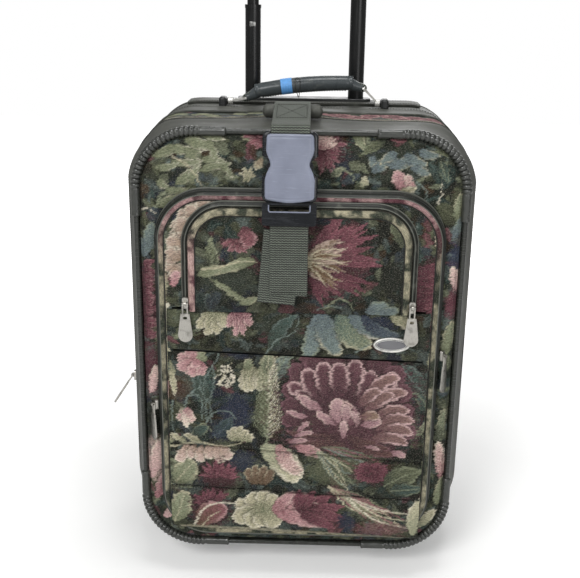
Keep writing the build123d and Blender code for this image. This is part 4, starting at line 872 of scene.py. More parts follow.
        # peach blossom round the upper left corner
        for x, z, r in ((-84, 400, 17), (-98, 398, 16), (-110, 390, 16), (-119, 378, 15), (-124, 364, 14), (-128, 350,
                12), (-129, 337, 10)):
            for k in range(6):
                a = c.rng.uniform(0, 6.28)
                c.petal((x - 0.35 * r * np.cos(a), z - 0.35 * r * np.sin(a)), (x + r * np.cos(a), z + r * np.sin(a)),
                        r * 0.5, tan * 1.1, peach, pale * 0.95, 0.4)
        c.petal((-132, 318), (-126, 336), 5, rose, pink, blush)
        for dx in (-8, 0, 8):
            c.petal((-68 + dx, 412), (-66 + dx, 394), 5.5, rose, pink, blush, 0.6)
        c.bloom(28, 408, 26, 2, wine, rose * 0.8, pink * 0.9, 0.6, arc=(180, 360), point=0.6, wide=0.3)
        c.petal((64, 396), (96, 404), 6, slate, mist, sage, 0.7)
        c.petal((70, 412), (84, 394), 6, moss, mist, sage, 0.7)
        c.dots(99, 396, 8, 8, 26, 1.6, pale)
        c.dots(112, 384, 8, 10, 26, 1.5, mist)
        c.dots(104, 372, 9, 8, 20, 1.4, cream)
        c.stroke([(100, 380), (104, 394), (98, 406)], 0.8, mist)
        c.patch(134, 322, 17, 34, wine, 0.95)
        for k in range(26):
            z = 296 + 52 * (k / 26)
            a = c.rng.uniform(-0.6, 0.6)
            c.petal((122, z - 6), (122 + 24 * np.cos(a), z + 12 * np.sin(a)), 4.5, wine, bur, rose, 0.7)
        c.petal((148, 350), (140, 390), 5, rose, cream, pale, 0.6)
        c.petal((150, 340), (146, 372), 4, pink, blush, pale, 0.6)
        c.petal((142, 296), (146, 272), 5, olive, cream, pale, 0.6)
        c.stroke([(-138, 330), (-142, 300), (-138, 270)], 2.2, cream, 1.0, 0.6)
        c.petal((-146, 262), (-138, 300), 5, sage, pale, pale, 0.5)
        c.petal((-146, 200), (-138, 262), 4.5, olive, cream, pale, 0.6)
        c.petal((-138, 212), (-144, 180), 4, pink, blush, pale, 0.6)
        for z in (170, 150, 120, 96, 70):
            c.petal((-146, z), (-138, z + 22), 4, moss, sage, cream, 0.6)
            c.petal((139, z + 10), (146, z + 34), 4, olive, sage, cream, 0.6)
        c.petal((140, 230), (147, 268), 4.5, olive, cream, pale, 0.6)
        c.petal((138, 44), (146, 78), 6, sage, cream, pale, 0.6)
    if name == "lid":
        # sage leaves over the upper left
        for x0_, z0_, x1_, z1_, w in ((-152, 452, -120, 462, 5), (-138, 462, -100, 458, 5), (-118, 470, -86, 462, 6),
                (-100, 478, -78, 470, 5),
                                      (-104, 448, -74, 446, 4), (-116, 462, -104, 436, 6), (-104, 438, -70, 446, 4),
                                      (-134, 446, -100, 448, 4), (-96, 470, -84, 446, 4),
                                      (-148, 440, -124, 446, 4), (-128, 424, -112, 440, 5), (-112, 424, -106, 442, 4),
                                      (-146, 428, -136, 420, 4), (-82, 444, -70, 432, 4)):
            c.petal((x0_, z0_), (x1_, z1_), w, olive, sage, pale * 0.9, 0.8, c.rng.uniform(-0.1, 0.1), lines=0.6)
        c.stroke([(-150, 400), (-140, 414), (-124, 418), (-104, 420), (-80, 424)], 1.4, sage)
        c.stroke([(-130, 452), (-116, 444), (-106, 430), (-96, 416)], 1.2, cream)
        c.petal((-146, 400), (-126, 412), 5, olive, sage, cream, 0.7)
        c.petal((-140, 418), (-112, 416), 4, olive, sage, cream, 0.8)
        c.petal((-60, 472), (-36, 478), 6, olive, cream, pale, 0.8)
        c.bloom(-40, 476, 18, 2, wine, rose, pink, 0.8, arc=(190, 350), point=0.7, wide=0.3)
        for k in range(6):
            c.petal((-54, 430), (-54 + 8 * np.cos(k), 436 + 8 * np.sin(k)), 2.2, olive, cream, pale, 0.8)
        c.petal((-40, 452), (-46, 440), 4, tan, cream, pale, 0.7)
        # fringed bloom right of the buckle
        c.patch(28, 462, 20, 16, wine, 0.95)
        for k in range(30):
            ang = c.rng.uniform(-100, 80)
            r = c.rng.uniform(17, 30)
            rad = np.radians(ang)
            c.petal((18, 466), (18 + r * np.cos(rad), 464 + r * np.sin(rad)), 3.2, wine, bur + 0.25 * rose,
                    pink * 0.8, 0.9)
        for k in range(8):
            a = np.radians(20 + 14 * k)
            c.petal((18, 462), (18 + 20 * np.cos(a), 462 + 18 * np.sin(a)), 2.4, rose, blush, pale, 0.8)
        c.petal((52, 480), (66, 460), 5, olive, sage, cream, 0.8)
        c.petal((84, 472), (60, 458), 5, moss, olive, sage, 0.8)
        c.petal((30, 436), (44, 442), 4, moss, sage, cream, 0.8)
        c.stroke([(40, 444), (50, 438), (56, 430), (66, 424)], 1.2, sage)
        c.petal((62, 424), (68, 436), 4, sage, cream, pale, 0.6)
        c.patch(96, 448, 34, 18, moss, 0.8)
        for x0_, z0_, x1_, z1_, w in ((72, 440, 92, 452, 6), (86, 452, 110, 446, 6), (92, 444, 118, 456, 5), (104,
                458, 128, 448, 6), (112, 446, 132, 438, 5), (96, 460, 80, 448, 5), (118, 462, 140, 458, 5), (74, 456,
                70, 444, 4)):
            c.petal((x0_, z0_), (x1_, z1_), w, slate, mist, cream, 0.8, c.rng.uniform(-0.1, 0.1), lines=0.6)
        c.petal((106, 420), (96, 442), 7, rose, pink, blush, 0.6)
        c.petal((112, 422), (108, 438), 5, rose, blush, pale, 0.6)
        c.petal((100, 418), (118, 424), 4, olive, cream, pale, 0.7)
        c.stroke([(118, 430), (128, 420), (126, 404)], 1.0, mist)
        c.petal((140, 452), (150, 430), 5, moss, teal, sage, 0.8, veins=0.3)
        c.petal((132, 474), (148, 456), 5, moss, olive, sage, 0.8)
        c.stroke([(140, 408), (144, 418), (142, 430)], 1.0, pale)
        # left edge, top to bottom
        c.petal((-164, 346), (-152, 384), 8, slate, mist, sage, 0.7, lines=0.7)
        c.stroke([(-168, 394), (-158, 398), (-148, 392)], 1.0, pale)
        c.patch(-162, 296, 12, 40, wine, 0.95)
        for k in range(20):
            z = 256 + 4.2 * k
            c.petal((-166, z), (-152, z + c.rng.uniform(-8, 8)), 3.5, wine, bur + 0.3 * rose, pink * 0.9, 0.7)
        c.patch(-160, 220, 12, 34, bur * 0.8, 0.8)
        c.petal((-160, 190), (-154, 224), 5, pink, blush, pale, 0.5)
        c.patch(-158, 160, 10, 26, night, 0.9)
        c.patch(-158, 110, 12, 30, blush * 0.8, 0.7)
        c.petal((-164, 84), (-150, 136), 8, pink, blush, pale, 0.5, lines=0.8)
        c.petal((-158, 60), (-144, 96), 7, rose, pink, blush, 0.5, lines=0.8)
        c.petal((-150, 36), (-132, 52), 6, pink, blush, pale, 0.6)
        # right edge
        c.petal((162, 390), (164, 420), 6, olive, sage, cream, 0.7)
        c.petal((158, 372), (168, 396), 5, slate, mist, sage, 0.7)
        c.patch(164, 350, 10, 20, navy * 1.6, 0.8)
        c.petal((168, 312), (160, 342), 5, pink, blush, pale, 0.5)
        c.patch(162, 300, 8, 16, bur, 0.9)
        c.petal((156, 236), (164, 282), 6, olive, sage, cream, 0.6, lines=0.7)
        c.petal((160, 210), (152, 240), 4, moss, teal, sage, 0.6)
        c.petal((156, 140), (162, 180), 5, moss, sage, cream, 0.6)
        c.petal((164, 92), (158, 140), 6, rose, blush, pale, 0.5, lines=0.8)
        c.petal((160, 60), (166, 96), 6, olive, sage, cream, 0.6)
        c.petal((140, 30), (160, 54), 6, sage, cream, pale, 0.6)
    return c.rgb


# ---- materials
def tapestry_look():
    """Woven tapestry: printed colours in thick weft yarns over a dark warp."""
    look = Look("tapestry", "cloth")
    paint = look.add("ShaderNodeAttribute", attribute_name="paint").outputs["Color"]
    u, v, _ = look.split()
    yarn = look.noise(1.0, 2.0, look.stretch(0.26, 1.25), 0.62)
    fleck = look.noise(1.0, 1.0, look.stretch(0.6, 1.5), 0.5)
    worn = look.noise(0.05, 3.0)
    rib = look.math("SINE", look.math("MULTIPLY", v, 2 * math.pi / 0.95))
    pick = look.math("SINE", look.math("MULTIPLY", u, 2 * math.pi / 0.8))
    weave = look.math("MULTIPLY", rib, look.math("ADD", look.math("MULTIPLY", pick, 0.35), 0.65))
    factor = look.math("ADD", look.ramp(yarn, 0.32, 0.68, 0.52, 1.5), look.math("MULTIPLY", weave, 0.1))
    colour = look.shade(paint, factor)
    pale = look.shade(look.mix(0.5, paint, rgba("a09a8c")), 1.12)
    colour = look.mix(look.ramp(fleck, 0.56, 0.7, 0.0, 0.5), colour, pale)
    deep = look.shade(paint, 0.4)
    colour = look.mix(look.ramp(fleck, 0.43, 0.31, 0.0, 0.6), colour, deep)
    colour = look.shade(colour, look.ramp(worn, 0.3, 0.7, 0.9, 1.1))
    height = look.math("ADD", look.math("MULTIPLY", weave, 0.5), look.ramp(yarn, 0.2, 0.8, -0.6, 0.6))
    return look.end(colour, look.ramp(yarn, 0.3, 0.7, 0.92, 0.78), look.bump(height, 0.22, 0.75),
                    Sheen_Weight=0.03, Sheen_Roughness=0.5, Specular_IOR_Level=0.12)


def coated_look(name, code, grain=1.4, rough=0.5, coords="object", lift=0.12):
    """Coated fabric with a fine pebbled grain, soft creases and rubbed edges."""
    look = Look(name, coords)
    cell = look.cells(1 / grain)
    soft = look.noise(0.03, 4.0)
    fine = look.noise(2.2, 2.0)
    streak = look.noise(0.12, 5.0)
    colour = look.shade(rgba(code), look.ramp(soft, 0.3, 0.7, 0.84, 1.14))
    colour = look.shade(colour, look.ramp(cell, 0.1, 0.6, 0.86, 1.08))
    colour = look.mix(look.ramp(streak, 0.56, 0.75, 0.0, 0.22), colour, rgba("8a8b80"))
    height = look.math("ADD", look.math("MULTIPLY", cell, 0.7), look.math("MULTIPLY", fine, 0.4))
    rim = look.math("ADD", look.ramp(soft, 0.3, 0.7, rough - 0.07, rough + 0.09), look.math("MULTIPLY", fine, 0.05))
    return look.end(colour, rim, look.bump(height, lift, 0.6), Specular_IOR_Level=0.3)


def woven_look(name, code, pitch=1.2, contrast=0.3, rough=0.85, coords="object", axes=(0, 2)):
    """Plain weave of two crossing yarns."""
    look = Look(name, coords)
    parts = look.split()
    u, v = parts[axes[0]], parts[axes[1]]
    warp = look.math("SINE", look.math("MULTIPLY", u, 2 * math.pi / pitch))
    weft = look.math("SINE", look.math("MULTIPLY", v, 2 * math.pi / pitch))
    over = look.math("MULTIPLY", warp, weft)
    slub = look.noise(0.5, 3.0)
    dirt = look.noise(0.02, 4.0)
    factor = look.math("ADD", look.math("MULTIPLY", over, contrast / 2), look.ramp(slub, 0.3, 0.7, 0.86, 1.12))
    colour = look.shade(look.shade(rgba(code), factor), look.ramp(dirt, 0.3, 0.7, 0.86, 1.1))
    return look.end(colour, look.ramp(slub, 0.3, 0.7, rough - 0.05, rough + 0.07), look.bump(over, 0.25, 0.7),
                    Sheen_Weight=0.1, Specular_IOR_Level=0.3)


def webbing_look():
    """Heavy webbing: upright ribs of plaited yarn."""
    look = Look("webbing", "cloth")
    u, v, _ = look.split()
    rib = look.math("SINE", look.math("MULTIPLY", u, 2 * math.pi / 3.7))
    turn = look.math("MULTIPLY", look.math("SIGN", rib), 0.2)
    pick = look.math("SINE", look.math("MULTIPLY", look.math("ADD", v, turn), 2 * math.pi / 2.45))
    wool = look.noise(0.8, 3.0)
    rub = look.noise(0.06, 3.0)
    raised = look.math("MULTIPLY", look.ramp(pick, -0.5, 0.7), look.ramp(look.math("ABSOLUTE", rib), 0.05, 0.5, 0.35,
            1.0))
    # Colour follows the weave's height: painted highlight on the raised picks, painted shade in the hollows between
    # them.
    factor = look.math("MULTIPLY", look.ramp(raised, 0.0, 1.0, 0.12, 2.1), look.ramp(wool, 0.3, 0.7, 0.7, 1.2))
    colour = look.shade(look.shade(rgba("484d45"), factor), look.ramp(rub, 0.3, 0.7, 0.86, 1.12))
    fleck = look.noise(1.6, 1.0)
    colour = look.mix(look.ramp(fleck, 0.6, 0.7, 0.0, 0.4), colour, rgba("8b9080"))
    height = look.math("ADD", raised, look.math("MULTIPLY", wool, 0.3))
    return look.end(colour, look.ramp(wool, 0.3, 0.7, 0.72, 0.86), look.bump(height, 0.35, 0.85), Sheen_Weight=0.08)


def plastic_look(name, code, rough=0.4, spark=0.06, wear="6b6e70", worn=0.25):
    """Moulded plastic with a fine spark finish, faint scuffs and a soft sheen."""
    look = Look(name)
    fine = look.noise(3.5, 2.0)
    haze = look.noise(0.05, 4.0)
    scuff = look.noise(1.0, 4.0, look.stretch(0.05, 0.3, 0.9), 0.65)
    colour = look.shade(rgba(code), look.ramp(haze, 0.3, 0.7, 0.9, 1.1))
    colour = look.mix(look.ramp(scuff, 0.58, 0.72, 0.0, worn), colour, rgba(wear))
    gloss = look.math("ADD", look.ramp(haze, 0.3, 0.7, rough - 0.06, rough + 0.08), look.ramp(scuff, 0.5, 0.7, 0.0,
            0.12))
    return look.end(colour, gloss, look.bump(fine, spark, 0.5))


def metal_look(name, code, rough=0.28, brushed=True, dull="77756f"):
    """Plated metal, brushed one way, with dull spots and fine scratches."""
    look = Look(name)
    line = look.noise(1.0, 3.0, look.stretch(2.2, 2.2, 0.22 if brushed else 2.2), 0.6)
    spot = look.noise(0.14, 4.0)
    colour = look.mix(look.ramp(spot, 0.52, 0.7, 0.0, 0.55), rgba(code), rgba(dull))
    colour = look.shade(colour, look.ramp(line, 0.3, 0.7, 0.86, 1.08))
    gloss = look.math("ADD", look.ramp(line, 0.3, 0.7, rough - 0.05, rough + 0.1), look.ramp(spot, 0.5, 0.7, 0.0, 0.14))
    return look.end(colour, gloss, look.bump(line, 0.05, 0.35), Metallic=1.0)


def enamel_look():
    """Black enamelled tube with light rubbing from sliding."""
    look = Look("black_enamel")
    rub = look.noise(1.0, 4.0, look.stretch(0.9, 0.9, 0.02), 0.6)
    haze = look.noise(0.04, 3.0)
    colour = look.mix(look.ramp(rub, 0.56, 0.74, 0.0, 0.12), rgba("111212"), rgba("4a4a47"))
    gloss = look.math("ADD", look.ramp(haze, 0.3, 0.7, 0.24, 0.34), look.ramp(rub, 0.5, 0.75, 0.0, 0.12))
    return look.end(colour, gloss, look.bump(rub, 0.04, 0.3), Specular_IOR_Level=0.35)


def rubber_look(name, code, rough=0.42):
    look = Look(name)
    dust = look.noise(0.08, 4.0)
    fine = look.noise(2.5, 2.0)
    colour = look.mix(look.ramp(dust, 0.5, 0.72, 0.0, 0.3), rgba(code), rgba("76776c"))
    gloss = look.math("ADD", look.ramp(dust, 0.35, 0.7, rough - 0.08, rough + 0.14), look.math("MULTIPLY", fine, 0.06))
    return look.end(colour, gloss, look.bump(fine, 0.05, 0.5))


def sleeve_look():
    """Corrugated rubber, dusty on the ribs, with painted shade in the gaps between them."""
    look = Look("ribbed_rubber", "cloth")
    run, _, _ = look.split()
    phase = look.math("FRACT", look.math("DIVIDE", look.math("SUBTRACT", run, 28.0), 4.95))
    crest = look.math("SINE", look.math("MULTIPLY", phase, math.pi))
    ribbed = look.math("MULTIPLY", look.ramp(run, 27.0, 28.5), look.ramp(run, 127.5, 126.0))
    # Painted shade: the gaps between the ribs are darkened towards near black.
    gap_shade = look.math("MULTIPLY", look.ramp(crest, 0.55, 0.1, 0.0, 0.85), ribbed)
    dust = look.noise(0.08, 4.0)
    fine = look.noise(1.2, 3.0)
    colour = look.shade(rgba("2f312d"), look.ramp(fine, 0.3, 0.7, 0.84, 1.14))
    colour = look.mix(look.ramp(dust, 0.5, 0.74, 0.0, 0.25), colour, rgba("6d6e66"))
    colour = look.mix(gap_shade, colour, rgba("0c0d0b"))
    return look.end(colour, look.ramp(dust, 0.35, 0.7, 0.26, 0.42), look.bump(fine, 0.05, 0.5), Specular_IOR_Level=0.7)


def tape_look():
    """Creased paper tape."""
    look = Look("blue_tape")
    crease = look.noise(1.0, 4.0, look.stretch(0.25, 0.5, 0.5), 0.7)
    fine = look.noise(3.0, 2.0)
    colour = look.shade(rgba("5590cb"), look.ramp(crease, 0.3, 0.7, 0.82, 1.2))
    colour = look.mix(look.ramp(fine, 0.56, 0.7, 0.0, 0.25), colour, rgba("86b4dc"))
    return look.end(colour, look.ramp(crease, 0.3, 0.7, 0.5, 0.7), look.bump(crease, 0.25, 0.8))


TAPESTRY = tapestry_look()
VINYL = coated_look("coated_fabric", "4a4b46", 1.4, 0.55)
CORD = coated_look("cord_cover", "5c5e57", 0.9, 0.38)
DARK_VINYL = coated_look("zip_band", "1c1e1a", 1.0, 0.42)
GRIP_SKIN = coated_look("grip_cover", "3f4446", 1.1, 0.24)
WELT = coated_look("piping", "33352f", 0.9, 0.42)
BACK = woven_look("back_cloth", "4b4e46", 1.3, 0.5)
LINING = woven_look("lining_cloth", "3a3c3c", 0.7, 0.25, 0.75)
TAPE = woven_look("zip_tape", "2b2c2a", 0.9, 0.4, 0.8, "cloth", (0, 1))
THREAD = woven_look("thread", "6a6c60", 0.6, 0.4, 0.7, "object", (0, 2))
DARK_THREAD = woven_look("dark_thread", "23231f", 0.6, 0.4, 0.8, "object", (0, 2))
WEBBING = webbing_look()
SLEEVE = sleeve_look()
TYRE = rubber_look("tyre_rubber", "1d1d1c", 0.6)
RING = metal_look("ring_metal", "dcdbd6", 0.36)
RING.node_tree.nodes["Principled BSDF"].inputs["Metallic"].default_value = 0.7
TUBE = enamel_look()
EDGE_TUBE = plastic_look("tube_cover", "292b27", 0.24, 0.05, "62635b", 0.2)
BLACK = plastic_look("black_plastic", "1c1d1d", 0.42)
HUB = plastic_look("hub_plastic", "2a2b2c", 0.35)
BUCKLE = plastic_look("buckle_plastic", "747989", 0.34, 0.14, "9da3b2", 0.35)
BUCKLE_RIM = plastic_look("buckle_rim", "131519", 0.22, 0.04, "4c515a", 0.22)
BOARD = plastic_look("board_sheet", "232423", 0.6)
SILVER = metal_look("plated_metal", "b5b2ab")
TEETH = metal_look("zip_metal", "6d6a60", 0.4, False, "3b3934")
BADGE_RIM = metal_look("badge_rim", "a5a39d", 0.26, False)
BADGE_FACE = plastic_look("badge_face", "68686b", 0.3, 0.03, "8e8e90", 0.25)
STEEL = metal_look("axle_steel", "8d8d8b", 0.35, True, "55534f")
BLUE = tape_look()


# ---- printed cloth, laid out once
PRINT_AREAS = {
    "lid": (-176, 176, 0, 490), "large": (-154, 154, 18, 424), "small": (-122, 122, 286, 408),
    "band": (-144, 148, 240, 300), "slip": (-144, 148, 20, 248),
}
PRINTS = {}


def ink(name, x, z):
    """Printed colour at places on the lid, X and Z in the part's own millimetres."""
    if name not in PRINTS:
        PRINTS[name] = flower_print(name, *PRINT_AREAS[name], 3 + len(name))
    cloth = PRINTS[name]
    x0, _, z0, _ = PRINT_AREAS[name]
    x, z = np.asarray(x), np.asarray(z)
    x, z = x + 1.7 * lump(x / 8, z / 1.15, 1, 97) + 0.8 * lump(x / 3, z / 0.9, 1, 99), z + 0.5 * lump(x / 2.5,
            z / 2.5, 1, 98)
    u = np.clip((x - x0) / 0.5, 0, cloth.shape[1] - 2)
    v = np.clip((z - BOTTOM - z0) / 0.5, 0, cloth.shape[0] - 2)
    i, j = u.astype(int), v.astype(int)
    fu, fv = (u - i)[..., None], (v - j)[..., None]
    low = cloth[j, i] * (1 - fu) + cloth[j, i + 1] * fu
    high = cloth[j + 1, i] * (1 - fu) + cloth[j + 1, i + 1] * fu
    return low * (1 - fv) + high * fv


EDGE = (170.0, BOTTOM + 5.3, BOTTOM + 478.0, 60.0)
LARGE = (148.5, BOTTOM + 24.0, BOTTOM + 418.5, 52.0)
SMALL = (114.5, BOTTOM + 256.0, BOTTOM + 403.5, 38.0)
SMALL_FOOT = BOTTOM + 294.0
BODY = (190.0, BOTTOM, TOP, 66.0)


def grown(shape, by):
    half, low, high, corner = shape
    return half + by, low - by, high + by, corner + by


def slant(x):
    """How far the lower pocket's seams fall away to the right."""
    return -0.031 * x


FOLD, TUCK, LEDGE, LIP = 130.5, 80.5, 29.0, 244.0


def open_cells(mask):
    """Cells of a grid that aren't wholly under another piece."""
    return ~(mask[:-1, :-1] & mask[:-1, 1:] & mask[1:, 1:] & mask[1:, :-1])


# ---- lid face and large pocket
def lid_face():
    shape = grown(EDGE, -3.4)
    x, z = rows_in(*shape, 1.25)
    e = inside(x, z, *shape)
    out = -inside(x, z, *LARGE)
    y = -96.2 - 3.2 * ease(e, 0, 4.5)
    y = y - 1.2 * ease(e, 4, 13) * ease(out, 0, 9) - 0.45 * lump(x, z, 26, 1) - 0.2 * lump(x, z, 9, 2)
    y = y + 0.8 * groove(out, 2.2)
    form = Form().grid(np.stack([x, y, z], -1), cloth=np.stack([x, z], -1), paint=ink("lid", x, z),
                       keep=open_cells(out < -3))
    form.end("lid_face", TAPESTRY, "lid", ["lid_panel"], "tapestry", (0, -1, 0))
    seam = Form()
    spots = outline(*grown(EDGE, -6.4), 2.0)[0]
    path = facing(spots, -99.5)
    seam.stitches(np.vstack([path, path[:1]]), (0, -1, 0), 3.2, 2.2)
    seam.end("lid_face_stitches", DARK_THREAD, "lid", slot="tapestry")
    shape = grown(EDGE, -7.0)
    x, z = rows_in(*shape, 5.0)
    e = inside(x, z, *shape)
    y = -91.6 - 0.5 * lump(x, z, 60, 5) * ease(e, 0, 20) + 0.3 * lump(x, z, 18, 6)
    Form().grid(np.stack([x, y, z], -1), cloth=np.stack([x, z], -1)).end("lid_inner", LINING, "lid", slot="lining",
            face=(0, 1, 0))


def large_pocket():
    base = outline(*LARGE, 1.1)
    spots, sides, run = base
    Form().rope(facing(spots + sides * 1.3, -100.6)[::2], 1.6, 12, True).end(
        "large_base_piping", CORD, "lid", slot="welt")
    wave = 0.25 * lump(run, run * 0, 14, 7)
    wall = np.array([(0.9, -98.6), (0.7, -101), (0.5, -104), (0.5, -107), (0.4, -109.4)])
    roll = [(0.3, -109.2), (0.55, -110.6), (0.3, -112.1), (-0.6, -113.6), (-2.0, -114.7), (-3.8, -115.2), (-5.6,
            -115.1),
            (-7.0, -114.4), (-7.8, -113.2), (-8.0, -112.2)]
    Form().sweep(base, wall, paint="large").end("large_wall", TAPESTRY, "lid", ["large_pocket"], "tapestry", "out")
    profile = np.broadcast_to(np.array(roll), (len(spots), len(roll), 2)).copy()
    profile[..., 1] += wave[:, None] * np.array([0, 0.3, 0.6, 1, 1, 1, 1, 1, 0.5, 0])
    Form().sweep(base, profile[:, :5]).end("large_edge_band", DARK_VINYL, "lid", slot="zip", face=(0, -1, 0))
    Form().sweep(base, profile[:, 4:], paint=large_tint(base, profile[:, 4:])).end(
        "large_roll", TAPESTRY, "lid", slot="tapestry", face=(0, -1, 0))
    Form().rope(np.stack([(spots - sides * 2.5)[:, 0], -115.0 + wave, (spots - sides * 2.5)[:, 1]], 1)[::2], 0.55, 7,
            True).end(
        "large_edge_cord", CORD, "lid", slot="welt")
    # Dark cord laid in the groove where the roll meets the front: painted shade along the seam.
    Form().rope(facing(spots - sides * 8.3, -113.3)[::2], 0.7, 7, True).end("large_seam", DARK_THREAD, "lid",
            slot="zip")
    arch = outline(*LARGE, 1.1, base=BOTTOM + 146.0)
    lips = Form()
    lips.sweep(arch, [(0.3, -109.9), (1.3, -109.9), (2.0, -109.2), (2.1, -107.8), (1.5, -107.1), (0.9, -107.0)],
            closed=False)
    lips.sweep(arch, [(0.9, -105.4), (1.5, -105.3), (2.1, -104.6), (2.0, -103.2), (1.2, -102.6), (0.4, -102.7)],
            closed=False)
    lips.sweep(arch, [(0.95, -107.3), (0.9, -106.2), (0.95, -105.1)], closed=False)
    lips.end("large_zip_lips", DARK_VINYL, "lid", ["large_pocket_zip"], "zip", "out")
    zip_coil("large_zip_coil", arch, 1.15, -106.2, "lid")
    shape = grown(LARGE, -8.5)
    x, z = rows_in(*shape, 1.15)
    e = inside(x, z, *shape)
    arch_out = -inside(x, z, *grown(SMALL, 6.5))
    y = -113.3 - 1.0 * ease(e, 0, 3) - 0.6 * ease(e, 2, 10) - 0.3 * lump(x, z, 22, 8) - 0.15 * lump(x, z, 7, 9)
    y = y + 0.7 * groove(arch_out, 2.0) * (z > SMALL_FOOT)
    under = (arch_out < -3) & (z > SMALL_FOOT + 2)
    under |= (np.abs(x) < 134) & (z < SMALL_FOOT + 3) & (z > BOTTOM + 38)
    Form().grid(np.stack([x, y, z], -1), cloth=np.stack([x, z], -1), paint=ink("large", x, z),
            keep=open_cells(under)).end(
        "large_front", TAPESTRY, "lid", slot="tapestry", face=(0, -1, 0))


def zip_coil(name, line, out, y, body, pitch=1.5):
    """Nylon coil of a zip: short loops lying across the tape."""
    spots, sides, run = line
    stations = np.arange(pitch / 2, run[-1], pitch)
    at = lambda v: np.stack([np.interp(stations, run, v[:, k]) for k in range(2)], 1)
    p, n = at(spots), at(sides)
    n /= np.linalg.norm(n, axis=1)[:, None]
    t = np.stack([-n[:, 1], n[:, 0]], 1)
    centre = facing(p + n * out, y)
    flat = lambda v: np.stack([v[:, 0], np.zeros(len(v)), v[:, 1]], 1)
    Form().blocks(centre, flat(t) * 0.48, np.array([[0, 1.05, 0]]), flat(n) * 0.55, 0.6).end(
        name, TEETH, body, slot="zip", sharp=80)


def small_pocket():
    arch = outline(*SMALL, 1.0, base=SMALL_FOOT)
    spots, sides, run = arch
    band = [(6.7, -113.2), (6.9, -114.6), (6.6, -116.6), (5.8, -118.3), (4.5, -119.3), (3.0, -119.7), (1.9, -119.5),
            (1.4, -118.8), (1.3, -118.0)]
    Form().sweep(arch, band, closed=False).end("small_zip_band", DARK_VINYL, "lid", ["small_pocket_zip"], "zip", (0,
            -1, 0))
    cords = Form().rope(facing(spots + sides * 6.6, -115.6)[::2], 0.95, 9)
    cords.rope(facing(spots + sides * 3.2, -119.6)[::2], 0.55, 7)
    cords.end("small_zip_piping", CORD, "lid", slot="welt")
    inner = [(1.3, -118.0), (0.4, -117.8), (-0.2, -118.2)]
    Form().sweep(arch, inner, closed=False).end("small_zip_tape", TAPE, "lid", slot="zip", face=(0, -1, 0))
    zip_coil_front("small_zip_coil", arch, 0.55, -118.3, "lid")
    roll = np.array([(0.0, -117.9), (0.2, -119.0), (0.0, -120.4), (-0.9, -121.8), (-2.4, -122.8), (-4.3, -123.2),
            (-6.0, -122.8),
                     (-7.0, -121.8), (-7.3, -120.8)])
    profile = np.broadcast_to(roll, (len(spots), *roll.shape)).copy()
    profile[..., 1] += 0.25 * lump(run, run * 0, 12, 11)[:, None] * np.array([0, 0.2, 0.6, 1, 1, 1, 1, 0.5, 0])
    Form().sweep(arch, profile, closed=False, paint=roll_tint(arch, roll)).end(
        "small_roll", TAPESTRY, "lid", ["small_pocket"], "tapestry", (0, -1, 0))
    # Dark cord laid in the groove where the roll meets the front: painted shade along the seam.
    Form().rope(facing(spots - sides * 7.5, -121.9), 0.65, 8).end("small_seam", DARK_THREAD, "lid", slot="zip")
    shape = grown(SMALL, -7.7)
    x, z = rows_in(*shape, 1.0)
    over = z > SMALL_FOOT - 2
    rows = over[:, 0]
    x, z = x[rows], z[rows]
    e = np.minimum(inside(x, z, *shape), 60)
    low = z - SMALL_FOOT
    y = -121.6 - 1.2 * ease(e, 0, 3) - 2.7 * ease(e, 3, 24) * ease(low, 0, 20)
    y = y - 0.5 * lump(x, z, 24, 12) * ease(e, 2, 12) - 0.2 * lump(x, z, 8, 13)
    y = y + 4.6 * (1 - ease(low, -2, 9)) - 0.7 * groove(low - 13, 7)
    Form().grid(np.stack([x, y, z], -1), cloth=np.stack([x, z], -1), paint=ink("small", x, z)).end(
        "small_front", TAPESTRY, "lid", slot="tapestry", face=(0, -1, 0))
    line = np.linspace(-112, 112, 120)
    Form().stitches(np.stack([line, line * 0 - 117.9, line * 0 + SMALL_FOOT + 1.6], 1), (0, -1, 0.3), 3.0, 2.0, 0.55,
            0.45).end(
        "small_foot_stitches", THREAD, "lid", slot="tapestry")


def large_tint(line, profile):
    """Rosy print along the top of the large pocket's sewn edge, pale flecks down its sides."""
    spots, _, run = line
    shape = profile.shape[:2]
    u = np.broadcast_to(run[:, None], shape)
    v = np.broadcast_to(np.arange(shape[1])[None] * 1.5, shape)
    mixed = ease(lump(u, v, 11, 23) + 0.6 * lump(u, v, 3.5, 24), -0.5, 0.7)[..., None]
    dark = 0.7 * ease(lump(u, v * 0, 9, 25), 0.0, 0.6)[..., None]
    high = ease(spots[:, 1], BOTTOM + 330, BOTTOM + 405)[:, None, None]
    side = INK["moss"] * 1.1 * (1 - mixed) + INK["cream"] * 0.62 * mixed
    top = INK["burgundy"] * 0.8 * (1 - mixed) + INK["pink"] * 0.7 * mixed
    tone = side * (1 - high) + top * high
    return tone * (1 - 0.6 * dark) + INK["night"] * 0.6 * dark


def roll_tint(line, roll):
    """Olive and cream print on the small pocket's sewn edge, rosier down its left side."""
    spots, _, run = line
    u = np.broadcast_to(run[:, None], (len(run), len(roll)))
    v = np.broadcast_to(np.arange(len(roll))[None] * 1.5, u.shape)
    mixed = ease(lump(u, v, 9, 21) + 0.5 * lump(u, v, 3, 22), -0.5, 0.6)[..., None]
    tone = INK["moss"] * 1.2 * (1 - mixed) + INK["cream"] * 0.7 * mixed
    rosy = (ease(-spots[:, 0], 80, 108) * ease(390 + BOTTOM - spots[:, 1], 0, 40))[:, None, None]
    return tone * (1 - 0.75 * rosy) + (INK["burgundy"] * (1 - mixed) + INK["pink"] * mixed) * 0.75 * rosy


